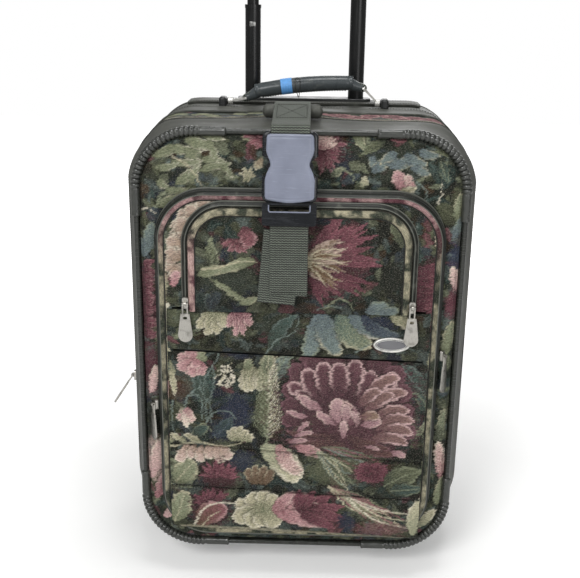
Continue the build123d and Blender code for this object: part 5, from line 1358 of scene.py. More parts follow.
def zip_coil_front(name, line, out, y, body, pitch=1.5):
    """Coil of a zip whose tape faces forward."""
    spots, sides, run = line
    stations = np.arange(pitch / 2, run[-1], pitch)
    at = lambda v: np.stack([np.interp(stations, run, v[:, k]) for k in range(2)], 1)
    p, n = at(spots), at(sides)
    n /= np.linalg.norm(n, axis=1)[:, None]
    t = np.stack([-n[:, 1], n[:, 0]], 1)
    flat = lambda v: np.stack([v[:, 0], np.zeros(len(v)), v[:, 1]], 1)
    Form().blocks(facing(p + n * out, y), flat(t) * 0.48, flat(n) * 0.8, np.array([[0, -0.5, 0]]), 0.6).end(
        name, TEETH, body, slot="zip", sharp=80)


# ---- flat pockets
def pocket_band():
    x = np.linspace(-138.6, 138.6, 264)
    t = np.linspace(0, 1, 56)
    x, t = np.meshgrid(x, t)
    low, high = BOTTOM + LIP + slant(x) + 0.6, SMALL_FOOT + 0.4
    z = low + (high - low) * t
    rise = z - low
    side = 138.6 - np.abs(x)
    y = -115.0 - 2.0 * ease(rise, -0.5, 3) - 0.5 * np.sin(math.pi * t)
    y = y - 0.35 * lump(x, z, 30, 14) - 0.25 * lump(x * 0.35, z, 7, 15) + 1.2 * ease(t, 0.93, 1.0)
    y = y + 1.6 * (1 - ease(side, 0, 5))
    p = np.stack([x, y, z], -1)
    lip = p[:1] + np.array([0, 1.0, 0.2])
    tuck = p[:1] + np.array([0, 2.4, 2.5])
    p = np.concatenate([tuck, lip, p])
    paint = ink("band", p[..., 0], p[..., 2])
    # Painted shade: the two tucked rows under the band's lower edge are darkened by half.
    paint[:2] *= 0.5
    Form().grid(p, cloth=np.stack([p[..., 0], p[..., 2]], -1), paint=paint).end(
        "pocket_band_cloth", TAPESTRY, "lid", ["pocket_band"], "tapestry", (0, -1, 0))
    line = np.linspace(-137, 137, 160)
    path = np.stack([line, line * 0 - 117.2, BOTTOM + LIP + slant(line) + 5.2], 1)
    Form().stitches(path, (0, -1, 0), 3.2, 2.2, 0.45, 0.3).end("band_stitches", DARK_THREAD, "lid", slot="tapestry")


def slip_pocket():
    x = np.linspace(-138.8, 138.8, 248)
    z = np.linspace(-1, 1, 200)
    x, z = np.meshgrid(x, z)
    low, high = BOTTOM + LEDGE + slant(x), BOTTOM + LIP + slant(x) - 1.2
    z = low + (high - low) * (z + 1) / 2
    level = z - BOTTOM
    fold = level - (FOLD - 0.0634 * x)
    tuck = level - (TUCK - 0.0485 * x)
    ledge = z - low
    side = 138.8 - np.abs(x)
    y = np.full(x.shape, -116.2)
    upper = np.clip(fold / (high - BOTTOM - FOLD + 0.0634 * x), 0, 1)
    middle = np.clip(tuck / (FOLD - TUCK - 0.015 * x), 0, 1)
    lower = np.clip(ledge / (TUCK - LEDGE - 0.0175 * x), 0, 1)
    y = y - 1.3 * np.sin(math.pi * upper) * (fold > 0)
    y = y - 1.9 * np.sin(math.pi * middle) ** 0.7 * ((tuck > 0) & (fold <= 0))
    y = y - 2.2 * np.sin(math.pi * lower) ** 0.7 * (tuck <= 0)
    y = y - 0.9 * groove(fold - 1.4, 1.1) + 1.1 * groove(fold + 0.7, 0.9)
    y = y - 0.3 * groove(tuck - 1.8, 1.2) + 1.7 * groove(tuck, 0.85)
    y = y - 0.35 * lump(x, z, 34, 16) - 0.3 * lump(x * 0.4, z, 9, 17) - 0.12 * lump(x, z, 5, 18)
    y = y + 1.8 * (1 - ease(side, 0, 7)) + 1.5 * (1 - ease(high - z, 0, 3)) + 1.6 * (1 - ease(ledge, 0, 3))
    p = np.stack([x, y, z], -1)
    paint = ink("slip", x, z)
    # Painted shade in the tuck's crease, just above the tuck and under the fold's lip, and a painted highlight along
    # the fold's top edge.
    paint *= (1 - 0.85 * groove(tuck, 1.1))[..., None] * (1 - 0.6 * groove(fold + 1.1, 1.2))[..., None]
    paint *= (1 + 0.4 * groove(fold - 0.9, 0.9))[..., None] * (1 - 0.3 * groove(tuck - 3, 2.5))[..., None]
    foot = p[:1] + np.array([0, 2.2, -0.4])
    p = np.concatenate([foot, p])
    paint = np.concatenate([paint[:1], paint])
    Form().grid(p, cloth=np.stack([p[..., 0], p[..., 2]], -1), paint=paint).end(
        "slip_pocket_cloth", TAPESTRY, "lid", ["slip_pocket"], "tapestry", (0, -1, 0))
    line = np.linspace(-136, 136, 160)
    path = np.stack([line, line * 0 - 117.2, BOTTOM + FOLD - 0.0634 * line + 2.6], 1)
    Form().stitches(path, (0, -1, 0), 3.0, 2.1, 0.5, 0.4).end("fold_stitches", THREAD, "lid", slot="tapestry")


lid_face()
large_pocket()
small_pocket()
pocket_band()
slip_pocket()


# ---- edge tube sleeves and lid gusset
def sleeves():
    form = Form()
    half, low, high, corner = EDGE
    for side in (-1, 1):
        for up in (-1, 1):
            arc = math.pi / 2 * corner
            total = 34.0 + arc + 29.0
            run = np.arange(0, total + 0.01, 0.71)
            centre_x, centre_z = side * (half - corner), (high - corner if up > 0 else low + corner)
            angle = np.clip((run - 34.0) / corner, 0, math.pi / 2)
            x = centre_x + side * (corner * np.sin(angle) - np.maximum(34.0 - run, 0))
            z = centre_z + up * (corner * np.cos(angle) - np.maximum(run - 34.0 - arc, 0))
            ribs = (run > 28) & (run < 28 + 20 * 4.95)
            phase = np.mod(run - 28, 4.95) / 4.95
            radius = np.where(ribs, 3.9 + 1.5 * np.sin(math.pi * phase) ** 0.6, 4.8)
            radius = radius - 0.5 * groove(run - 27, 0.9) - 0.5 * groove(run - 127.5, 0.9)
            radius = radius + 0.3 * groove(run - 1.6, 1.1) + 0.3 * groove(run - total + 1.6, 1.1)
            radius[0] = radius[-1] = 3.4
            form.rope(np.stack([x, x * 0 + FRONT_Y, z], 1), radius, 22, ends=True)
    form.end("corner_sleeves_fine", SLEEVE, "lid", ["corner_sleeves"], "sleeve", sharp=70)


def steady(shape, counts=(90, 46, 240)):
    """Outline with the same number of points whatever its size."""
    half, low, high, corner = shape
    across, bend, up = counts
    spots, sides = [], []

    def line(x0, z0, x1, z1, nx, nz, count):
        t = (np.arange(count) / count)[:, None]
        spots.append(np.array([[x0, z0]]) * (1 - t) + np.array([[x1, z1]]) * t)
        sides.append(np.tile((float(nx), float(nz)), (count, 1)))

    def arc(x, z, start):
        a = np.radians(start + 90 * np.arange(bend) / bend)
        sides.append(np.stack([np.cos(a), np.sin(a)], 1))
        spots.append((x, z) + corner * sides[-1])

    line(0, low, half - corner, low, 0, -1, across)
    arc(half - corner, low + corner, -90)
    line(half, low + corner, half, high - corner, 1, 0, up)
    arc(half - corner, high - corner, 0)
    line(half - corner, high, corner - half, high, 0, 1, 2 * across)
    arc(corner - half, high - corner, 90)
    line(-half, high - corner, -half, low + corner, -1, 0, up)
    arc(corner - half, low + corner, 180)
    line(corner - half, low, 0, low, 0, -1, across)
    spots, sides = np.vstack(spots), np.vstack(sides)
    run = np.concatenate([[0], np.cumsum(np.linalg.norm(np.diff(spots, axis=0), axis=1))])
    return spots, sides, run


def loft_band(first, last, depths, lift, counts=(45, 24, 120)):
    """Grid between two outlines at different depths; lift gives how far each point stands off."""
    start, stop = steady(first, counts), steady(last, counts)
    share = (depths - depths[0]) / (depths[-1] - depths[0])
    spots = start[0][:, None] * (1 - share)[None, :, None] + stop[0][:, None] * share[None, :, None]
    off = lift(stop[2][:, None], depths[None])
    spots = spots + stop[1][:, None] * off[..., None]
    p = np.stack([spots[..., 0], np.broadcast_to(depths, spots.shape[:2]), spots[..., 1]], -1)
    cloth = np.stack(np.broadcast_arrays(stop[2][:, None], depths[None]), -1)
    return p, cloth


def lid_gusset():
    depths = np.concatenate([np.linspace(-97.0, -92.0, 5), np.linspace(-90.5, -33.5, 38), [-32.3, -31.6]])
    wrinkle = lambda run, y: (0.5 * lump(run, y, 40, 31) + 0.35 * lump(run * 0.6, y, 12, 32) - 1.0 * ease(y, -92,
            -70) * ease(-y, 36, 52)
                              - 1.1 * (1 - ease(y, -96.5, -92)) - 0.3 * ease(y, -34, -32))
    p, cloth = loft_band(grown(EDGE, 1.0), BODY, depths, wrinkle)
    Form().grid(p, along=True, cloth=cloth).end("lid_gusset_cloth", VINYL, "lid", ["lid_gusset"], "gusset", "out",
            sunk=True)
    p, cloth = loft_band(grown(EDGE, -1.2), grown(BODY, -2.1), np.linspace(-92, -31.6, 14),
                         lambda run, y: 0.4 * lump(run, y, 26, 33) - 0.3)
    Form().grid(p, along=True, cloth=cloth).end("lid_gusset_lining", LINING, "lid", slot="lining", face="in", sunk=True)
    for name, y, inset in (("front", -88.5, -0.9), ("rear", -35.0, -0.15)):
        share = (y + 92.4) / 60.9
        shape = tuple(a * (1 - share) + b * share for a, b in zip(grown(EDGE, 1.0), BODY))
        spots, sides, run = outline(*shape, 2.0)
        path = facing(spots + sides * inset, y)
        up = np.stack([sides[:, 0], sides[:, 0] * 0, sides[:, 1]], 1)
        Form().stitches(np.vstack([path, path[:1]]), np.vstack([up, up[:1]]), 3.4, 2.4, 0.5, 0.45).end(
            f"gusset_stitches_{name}", DARK_THREAD, "lid", slot="gusset", sunk=True)


# ---- main zip and the bands round the body
def zip_line(shape, step=1.2, hinge=112.0):
    """Outline without the stretch along the floor side, where the cloth hinge runs."""
    spots, sides, run = outline(*shape, step)
    keep = ~((np.abs(spots[:, 0]) < hinge) & (spots[:, 1] < shape[1] + 3)) & (spots[:, 1] > shape[1] + 7)
    first = int(np.argmax(keep))
    last = len(keep) - int(np.argmax(keep[::-1]))
    return spots[first:last], sides[first:last], run[first:last] - run[first]


def main_zip():
    around = outline(*BODY, 2.2)
    for side, name, body in ((-1, "main_zip_front", "lid"), (1, "main_zip_rear", "main_body")):
        y = lambda d: ZIP_Y + side * d
        tape = [(-1.4, y(0.3)), (-0.3, y(0.3)), (0.1, y(0.9)), (0.2, y(2.6)), (0.35, y(3.2)), (0.5, y(4.2)), (0.25,
                y(5.2)),
                (-0.2, y(5.6)), (-1.4, y(5.5)), (-1.4, y(0.3))]
        form = Form().sweep(around, tape)
        form.end(f"{name}_tape", TAPE, body, [name], "zip", "out", sunk=True)
        spots, sides, run = zip_line(BODY)
        stations = np.arange(0.7 + (0.6 if side < 0 else 1.9), run[-1], 2.6)
        at = lambda v: np.stack([np.interp(stations, run, v[:, k]) for k in range(2)], 1)
        p, n = at(spots), at(sides)
        n /= np.linalg.norm(n, axis=1)[:, None]
        t = np.stack([-n[:, 1], n[:, 0]], 1)
        flat = lambda v: np.stack([v[:, 0], np.zeros(len(v)), v[:, 1]], 1)
        Form().blocks(facing(p + n * 0.45, y(0.75)), flat(t) * 0.62, np.array([[0, 1.25, 0]]), flat(n) * 0.55,
                0.75).end(
            f"{name}_teeth", TEETH, body, slot="zip", sharp=80, sunk=True)
        spots, sides, run = outline(*BODY, 2.0)
        up = np.stack([sides[:, 0], sides[:, 0] * 0, sides[:, 1]], 1)
        Form().stitches(facing(spots + sides * 0.45, y(4.2)), up, 3.0, 2.0, 0.4, 0.3).end(
            f"{name}_stitches", DARK_THREAD, body, slot="zip", sunk=True)


def stray_print(length, width, seed):
    """Scattered leaves and flowers for a long narrow strip."""
    cloth = Cloth(0, length, 0, width, seed)
    rng = np.random.default_rng(seed)
    place = 0.0
    while place < length:
        kind = rng.random()
        z = rng.uniform(0.2, 0.8) * width
        turn = rng.uniform(0, 6.28)
        rosy = 640 < place < 800
        if kind < 0.3 or rosy:
            cloth.bloom(place, z, rng.uniform(9, 15), 2, INK["wine"], INK["rose"],
                    INK["blush"] if rosy else INK["pink"],
                        0.9, point=0.6, wide=0.36)
        elif kind < 0.75:
            for k in range(3):
                a = turn + k * 0.8
                cloth.petal((place, z), (place + 15 * math.cos(a), z + 11 * math.sin(a)), 4.5, INK["olive"],
                        INK["sage"],
                            INK["cream"], 0.7, rng.uniform(-0.1, 0.1))
        else:
            cloth.patch(place, z, 14, 10, INK["slate"], 0.7)
            cloth.spray(place, z, math.degrees(turn), 16, 30, 7, [INK["sage"], INK["cream"]], 0.8)
        place += rng.uniform(9, 17)
    return cloth.rgb


def body_tapestry():
    depths = np.linspace(-20.6, 13.8, 31)
    p, cloth = loft_band(BODY, BODY, depths, lambda run, y: (
        0.35 * lump(run, y, 30, 41) + 0.15 * lump(run, y, 8, 42) - 0.5 * groove(y + 20.6,
                1.6) - 0.5 * groove(y - 13.8, 1.6) - 0.35), (86, 44, 220))
    length = float(cloth[-1, 0, 0]) + 3
    colours = stray_print(length, 36, 9)
    u = np.clip(cloth[..., 0] / 0.5, 0, colours.shape[1] - 1).astype(int)
    v = np.clip((cloth[..., 1] + 21) / 0.5, 0, colours.shape[0] - 1).astype(int)
    Form().grid(p, along=True, cloth=cloth, paint=colours[v, u]).end(
        "body_tapestry", TAPESTRY, "main_body", ["tapestry_band"], "tapestry", "out", sunk=True)


def in_housing(p, grow=0.0):
    """Points inside the wheel housings' drums."""
    near = np.hypot(p[..., 1] - 106, p[..., 2] - 30) < 37 + grow
    return near & (np.abs(np.abs(p[..., 0]) - 141) < 23 + grow)


def stretches(mask):
    """Index runs of more than three neighbours where the mask is true."""
    runs = np.split(np.arange(len(mask)), np.flatnonzero(np.diff(mask.astype(int))) + 1)
    return [part for part in runs if mask[part[0]] and len(part) > 3]


def rear_shell():
    """Body welts, grey gusset cloth, back panel cloth and their stitches."""
    spots, sides, run = outline(*BODY, 2.2)
    cords = Form().rope(facing(spots, 15.2), 1.5, 11, True)
    path = facing(outline(*grown(BODY, -1.5), 2.2)[0], 123.5)
    for part in stretches(~in_housing(path, -1.0)):
        cords.rope(path[part], 1.5, 11)
    cords.rope(facing(spots - sides * 0.2, -20.6), 0.75, 7, True)
    cords.end("body_piping", WELT, "main_body", ["rear_piping"], "welt", sunk=True)
    depths = np.concatenate([np.linspace(16.6, 22, 5), np.linspace(24.5, 112, 40), [114.5, 116.5, 118.2, 119.6]])
    lift = lambda run, y: (0.6 * lump(run, y, 55, 43) + 0.35 * lump(run * 0.5, y, 16, 44) - 0.55
                           - 0.7 * groove(y - 16.6, 2) - 0.8 * groove(y - 52, 1.3) + 0.5 * groove(y - 54.5,
                                   2.0) - 1.2 * ease(y, 114, 119))
    p, cloth = loft_band(BODY, BODY, depths, lift)
    Form().grid(p, along=True, cloth=cloth, keep=open_cells(in_wrapped(p)) & clear_of_posts(np.vstack([p, p[:1]]))).end(
        "rear_gusset_cloth", VINYL, "main_body", ["rear_gusset"], "gusset", "out", sunk=True)
    for name, y, inset in (("a", 20.5, -0.5), ("b", 56.5, 0.1), ("c", 112.5, -0.4)):
        path = facing(spots + sides * inset, y)
        up = np.stack([sides[:, 0], sides[:, 0] * 0, sides[:, 1]], 1)
        by_post = (np.abs(np.abs(path[:, 0]) - POST_X) < 13) & (path[:, 2] > TOP - POST_HOLE_DEPTH)
        form = Form()
        for part in stretches(~in_housing(path, 2.0) & ~by_post):
            form.stitches(path[part], up[part], 3.4, 2.4, 0.5, 0.42)
        form.end(f"body_stitches_{name}", DARK_THREAD, "main_body", slot="gusset", sunk=True)
    shape = grown(BODY, -2.6)
    x, z = rows_in(*shape, 6.0, across=1.7)
    e = inside(x, z, *shape)
    y = 123.4 + 1.4 * ease(e, 0, 6) + 0.3 * lump(x, z, 60, 45) * ease(e, 2, 20) + 0.15 * lump(x, z, 18, 46)
    for seam in (-112, -24, 24, 112):
        y = y - 0.9 * groove(x - seam, 1.5)
    p = np.stack([x, y, z], -1)
    Form().grid(p, cloth=np.stack([x, z], -1), keep=open_cells(in_housing(p, -1.2))).end(
        "back_panel_cloth", BACK, "main_body", ["back_panel"], "back_fabric", (0, 1, 0), sunk=True)
    form = Form()
    for seam in (-112, -24, 24, 112):
        for side in (-2.4, 2.4):
            line = np.linspace(BOTTOM + 44, TOP - 12, 150)
            form.stitches(np.stack([line * 0 + seam + side, line * 0 + 124.9, line], 1), (0, 1, 0), 3.6, 2.6, 0.5, 0.4)
    form.end("back_panel_stitches", THREAD, "main_body", slot="back_fabric")


def clear_of_posts(p):
    """Cells of a grid that stay outside the holes for the pull handle's two tubes."""
    near = np.hypot(np.abs(p[..., 0]) - POST_X, p[..., 1] - POST_Y) < POST_HOLE
    hole = near & (p[..., 2] > TOP - POST_HOLE_DEPTH)
    return ~(hole[:-1, :-1] | hole[:-1, 1:] | hole[1:, 1:] | hole[1:, :-1])


def in_wrapped(p):
    """Points in the wheel housings, with the first row repeated to close the loop."""
    return np.vstack([in_housing(p, -1.2), in_housing(p[:1], -1.2)])


def board_sheet():
    """Stiffening sheet behind the cloth, following it where it has settled."""
    depths = np.array([-19.4, 0, 14, 30, 62, 84, 94.5, 98, 102, 106, 110, 114, 117.5, 121.5])
    outer, _ = loft_band(grown(BODY, -2.5), grown(BODY, -2.5), depths, lambda run, y: 0 * run * y)
    inner, _ = loft_band(grown(BODY, -4.4), grown(BODY, -4.4), depths, lambda run, y: 0 * run * y)
    ring = np.concatenate([outer, inner[:, ::-1]], 1)
    wrapped = np.hstack([ring, ring[:, :1]])
    wrapped = np.vstack([wrapped, wrapped[:1]])
    Form().grid(ring, around=True, along=True, keep=open_cells(in_housing(wrapped, 0.5)) & clear_of_posts(wrapped)).end(
        "board_sheet", BOARD, "main_body", ["board_frame"], "board", "out", sunk=True)


def inside_body():
    shape = grown(BODY, -5.5)
    p, cloth = loft_band(shape, shape, np.linspace(-20.4, 92.8, 24), lambda run, y: (
        -0.35 * lump(run, y, 45, 51) - 0.2 * lump(run * 2, y, 20, 52)))
    Form().grid(p, along=True, cloth=cloth).end("body_lining", LINING, "main_body", ["lining"], "lining", "in",
            sunk=True)
    x, z = rows_in(*grown(shape, -0.2), 5.0)
    e = inside(x, z, *grown(shape, -0.2))
    y = 92.5 - 0.9 * ease(e, 0, 14) - 0.3 * lump(x, z, 50, 53)
    for seam in (-62, 62):
        y = y - 1.6 * groove(x - seam, 13) * ease(e, 0, 20)
    Form().grid(np.stack([x, y, z], -1), cloth=np.stack([x, z], -1)).end(
        "inner_pad_cloth", LINING, "main_body", ["inner_back_pad"], "lining", (0, -1, 0), sunk=True)
    spots, sides, run = outline(*grown(BODY, -3.4), 2.5)
    Form().sweep((spots, sides, run), [(2.1, -20.4), (1.6, -21.4), (0, -21.8), (-1.9, -21.3), (-2.3, -20.0)]).end(
        "body_rim_binding", WELT, "main_body", slot="welt", face=(0, -1, 0), sunk=True)
    x = np.linspace(-113, 113, 90)
    y = np.linspace(-37.5, -14.5, 22)
    x, y = np.meshgrid(x, y)
    z = BOTTOM - 0.75 - 0.35 * np.cos((y + 26) * 0.6) - 0.15 * lump(x, y, 14, 54)
    sheet = np.stack([x, y, z], -1)
    back = sheet[::-1] + np.array([0, 0, 0.5])
    hinge = Form().grid(np.concatenate([sheet, back]), along=True,
            cloth=np.concatenate([np.stack([x, y], -1)] * 2)).end(
        "cloth_hinge", VINYL, None, slot="gusset")
    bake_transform(hinge)


def top_strip():
    spots, sides, _ = outline(*grown(BODY, 1.7), 1.6)
    on_top = (np.abs(spots[:, 0]) < 139) & (spots[:, 1] > TOP - 30)
    spots, sides = spots[on_top], sides[on_top]
    y0, y1 = 81.0, 123.2
    u = np.linspace(0, 1, 26)
    section = np.concatenate([np.stack([y0 + (y1 - y0) * u, 1.7 - 0.9 * (2 * u - 1) ** 6 - 0.5 * groove(u - 0.08,
            0.02) - 0.5 * groove(u - 0.92, 0.02)], 1),
                              np.stack([y1 - (y1 - y0) * u[::3], -1.6 + 0 * u[::3]], 1)])
    p = np.empty((len(spots), len(section), 3))
    wave = 0.15 * lump(spots[:, 0], spots[:, 1], 20, 61)
    off = section[None, :, 1] + wave[:, None] * (section[None, :, 1] > 0)
    p[..., 0] = spots[:, :1] + sides[:, :1] * off
    p[..., 1] = section[None, :, 0]
    p[..., 2] = spots[:, 1:] + sides[:, 1:] * off
    wrapped = np.hstack([p, p[:, :1]])
    Form().grid(p, around=True, ends=True, keep=clear_of_posts(wrapped)).end("top_strip_cloth", VINYL, "main_body",
            ["top_strip"], "gusset", sunk=True)
    form = Form()
    up = np.stack([sides[:, 0], sides[:, 0] * 0, sides[:, 1]], 1)
    for y in (84.4, 119.8):
        form.stitches(facing(spots + sides * 1.2, y), up, 3.2, 2.2, 0.5, 0.45)
    form.end("top_strip_stitches", DARK_THREAD, "main_body", slot="gusset", sunk=True)


sleeves()
lid_gusset()
main_zip()
body_tapestry()
rear_shell()
board_sheet()
inside_body()
top_strip()


# ---- strap and buckle
def buckle_at(y, z):
    """Side view place of a point given in the buckle's own frame."""
    turn = math.radians(-9)
    return (PANEL_Y - 16 + y * math.cos(turn) - z * math.sin(turn),
            BOTTOM + 482 + y * math.sin(turn) + z * math.cos(turn))


def rounded_path(points, radius=3.0, step=1.2):
    """Side view line with its corners rounded, evenly stepped."""
    points = [np.array(p, float) for p in points]
    out = [points[0]]
    for before, here, after in zip(points, points[1:], points[2:]):
        a, b = before - here, after - here
        ra, rb = min(radius * 1.6, np.linalg.norm(a) / 2), min(radius * 1.6, np.linalg.norm(b) / 2)
        p0, p2 = here + a / np.linalg.norm(a) * ra, here + b / np.linalg.norm(b) * rb
        for t in np.linspace(0, 1, 7):
            out.append(p0 * (1 - t) ** 2 + here * 2 * t * (1 - t) + p2 * t * t)
    out.append(points[-1])
    out = np.array(out)
    run = np.concatenate([[0], np.cumsum(np.linalg.norm(np.diff(out, axis=0), axis=1))])
    s = np.linspace(0, run[-1], max(3, int(run[-1] / step)))
    return np.stack([np.interp(s, run, out[:, k]) for k in range(2)], 1)


def side_line(path, x=WEB_X):
    return np.stack([np.full(len(path), x), path[:, 0], path[:, 1]], 1)


ROLL_Z = 512.79 + 1.01 * 7.5 + 0.3


def strap():
    top = ROLL_Z + 7.5 + 0.3 + 0.8
    front, low = buckle_at(-10.1, 0.6), buckle_at(-10.1, -5.3)
    path = rounded_path([(-36.5, top), (-45, top), (-100, BOTTOM + 489.8), (front[0] + 0.5, front[1] + 4), low])
    line = side_line(path)
    line[:, 1] += 0.25 * np.sin(np.linspace(0, 9, len(line)))
    Form().ribbon(line, (1, 0, 0), WEB_WIDE, 1.7).end("strap_upper_web", WEBBING, "lid", ["strap_upper"], "webbing")
    tangent = np.gradient(path, axis=0)
    tangent /= np.linalg.norm(tangent, axis=1)[:, None]
    off = np.stack([tangent[:, 1] * 0, -tangent[:, 1], tangent[:, 0]], 1)
    off *= np.sign(off[:, 2:] + 1e-9)
    pick = (path[:, 1] < top - 1.5) & (path[:, 1] > BOTTOM + 491)
    spots, lift = line[pick] + off[pick] * 0.95, off[pick]
    n = len(spots)
    form = Form()
    u = np.linspace(-1, 1, n)
    for x in (u * 0 - 15.5, u * 0 + 15.5, 15.5 * u, -15.5 * u):
        form.stitches(spots + np.stack([x, x * 0, x * 0], 1), lift, 2.6, 2.0, 0.8, 0.55)
    for k in (0, n - 1):
        row = np.stack([np.linspace(-15.5, 15.5, 12), np.full(12, spots[k, 1]), np.full(12, spots[k, 2])], 1)
        row[:, 0] += WEB_X
        form.stitches(row, lift[k], 2.6, 2.0, 0.8, 0.55)
    form.end("strap_box_stitches", DARK_THREAD, "lid", slot="webbing")
    # rolled bolster under the strap
    x = np.concatenate([[0, 0.6, 2.0], np.linspace(4, 60, 40), [62, 63.4, 64]])
    radius = 7.45 * np.minimum(1, np.sqrt(np.clip(np.minimum(x, 64 - x) / 3.4, 0.04, 1)))
    radius = radius - 0.35 * groove(x - 32, 22) - 0.25 * groove(x - 5.5, 1.0) - 0.25 * groove(x - 58.5, 1.0)
    line = np.stack([WEB_X - 32 + x, x * 0 - 42, x * 0 + ROLL_Z], 1)
    Form().rope(line, radius, 32, ref=(0, 0, 1)).end("strap_bolster", VINYL, "lid", ["strap_roll"], "webbing")
    pin_y, pin_z = buckle_at(-4.5, -70 - 23 + 6.5)
    r = 2.3 + 0.8
    bend = [(pin_y + r * math.cos(a), pin_z + r * math.sin(a)) for a in np.linspace(0, math.pi, 14)]
    fall = [(pin_y - r + 0.5 * math.sin(0.35 * k), z) for k, z in enumerate(np.linspace(pin_z - 1.5, BOTTOM + 318, 44))]
    path = np.array([(pin_y + r, pin_z - 12), (pin_y + r, pin_z - 6)] + bend + fall)
    Form().ribbon(side_line(path), (1, 0, 0), WEB_WIDE, 1.6).end("strap_tail_web", WEBBING, "buckle_clip",
            ["strap_tail"], "webbing")
    edge = np.stack([np.linspace(WEB_X - 18, WEB_X + 18, 20), np.full(20, path[-1, 0] - 0.9), np.full(20,
            BOTTOM + 321.0)], 1)
    Form().stitches(edge, (0, -1, 0), 2.6, 2.0, 0.8, 0.5).end("strap_tail_stitches", DARK_THREAD, "buckle_clip",
            slot="webbing")
    # Pale bead round the insert's slot: painted highlight on the slot's rim.
    rim = [(-20.4, -72.4), (-20.4, -78.2), (-19.2, -79.3), (19.2, -79.3), (20.4, -78.2), (20.4, -72.4)]
    spots = [(WEB_X + x, *buckle_at(-13.1, z)) for x, z in rim]
    Form().rope(spots, 0.75, 10, ref=(0, -1, 0)).end("buckle_slot_bead", BUCKLE, "buckle_clip", slot="buckle")
    high = pin_z - 12.5
    middle = pin_y - 2.3 + 0.5 + 1.6 + 0.3
    centre = BOTTOM + 308 + 2.1
    r = 0.5 + 0.8
    up = np.linspace(centre, high, 36)
    left = [(middle + r + 0.1 * math.sin(0.3 * k), z) for k, z in enumerate(up[::-1])]
    turn = [(middle + r * math.cos(a), centre + r * math.sin(a)) for a in np.linspace(0, -math.pi, 12)[1:-1]]
    right = [(middle - r, z) for z in up]
    line = side_line(np.array(left + turn + right), 0)
    a = math.radians(5)
    z = line[:, 2] - high
    along = np.array([math.cos(a), 0, -math.sin(a)])
    line = np.stack([WEB_X - 6 + z * math.sin(a), line[:, 1], high + z * math.cos(a)], 1)
    Form().ribbon(line, along, WEB_WIDE, 1.6).end("strap_loop_web", WEBBING, "buckle_clip", ["strap_loop"], "webbing")


def buckle_front():
    """Raised front plate of the buckle, waisted where the release arms show."""
    t = np.linspace(-3.5, -67.5, 96)
    half = 23.6 + 1.2 * ease(-t, 30, 60) - 4.0 * groove(t + 33, 8.0) + 0.5 * groove(t + 19, 5) + 0.6 * groove(t + 48, 6)
    end = np.minimum(t - t[-1], t[0] - t)
    half = half - 3.2 * (1 - np.sqrt(np.clip(1 - (1 - np.clip(end / 4.5, 0, 1)) ** 2, 0, 1)))
    u = np.concatenate([[-1.0, -1.0], np.linspace(-0.985, 0.985, 47), [1.0, 1.0]])
    x = half[:, None] * u[None]
    near = np.minimum((1 - np.abs(u))[None] * half[:, None], end[:, None])
    drop = 2.6 * (1 - u[None] ** 2) * ease(-t, 40, 67)[:, None]
    depth = -13.2 - 1.3 * ease(near, 0, 1.6) - 0.9 * (1 - u[None] ** 2)
    depth[:, 0] = depth[:, -1] = -12.6
    depth = depth + 0.35 * groove(near - 3.2, 0.5) * (end[:, None] > 1)
    turn = math.radians(-9)
    level = t[:, None] - drop
    y = PANEL_Y - 16 + depth * math.cos(turn) - level * math.sin(turn)
    z = BOTTOM + 482 + depth * math.sin(turn) + level * math.cos(turn)
    p = np.stack([WEB_X + x, y, z], -1)
    back = p[[0, -1]] * 1.0
    back[..., 1] += 1.2
    p = np.concatenate([back[:1], p, back[1:]])
    Form().grid(p).end("buckle_front_plate", BUCKLE, "lid", slot="buckle", face=(0, -1, 0), sharp=60)


def badge_face():
    a = np.linspace(0, 2 * math.pi, 64, endpoint=False)
    rows = []
    for r, y in ((1.0, -0.3), (0.97, -0.65), (0.9, -0.7), (0.6, -0.82), (0.3, -0.9), (0.02, -0.92)):
        rows.append(np.stack([98.5 + 16.6 * r * np.cos(a), a * 0 - 118.5 + y, BOTTOM + 260 + 6.2 * r * np.sin(a)], 1))
    rim = Form()
    for wide, high, bead in ((17.9, 7.3, 1.15), (15.6, 5.4, 0.25)):
        line = np.stack([98.5 + wide * np.cos(a), a * 0 - 119.0 - 0.3 * (bead < 1), BOTTOM + 260 + high * np.sin(a)], 1)
        rim.rope(line, bead, 12, True)
    rim.end("badge_rim_bead", RING, "lid", slot="badge")
    Form().grid(np.array(rows), around=True, ends=True).end("badge_face", BADGE_FACE, "lid", slot="badge", face=(0,
            -1, 0))


# ---- carry handle
def carried(points):
    """Places of the carry handle's own side view points over the body, tilted as it lies."""
    points = np.asarray(points, float)
    a = math.radians(-5.5)
    x = points[..., 0] * math.cos(a) + points[..., 2] * math.sin(a)
    z = -points[..., 0] * math.sin(a) + points[..., 2] * math.cos(a)
    return np.stack([x, points[..., 1] + 67, z + TOP + 22], -1)


def arch_line(x):
    """The handle's bow, 3 mm high over 114 mm."""
    radius = (57**2 + 3**2) / 6
    return np.sqrt(radius**2 - x**2) - radius + 3


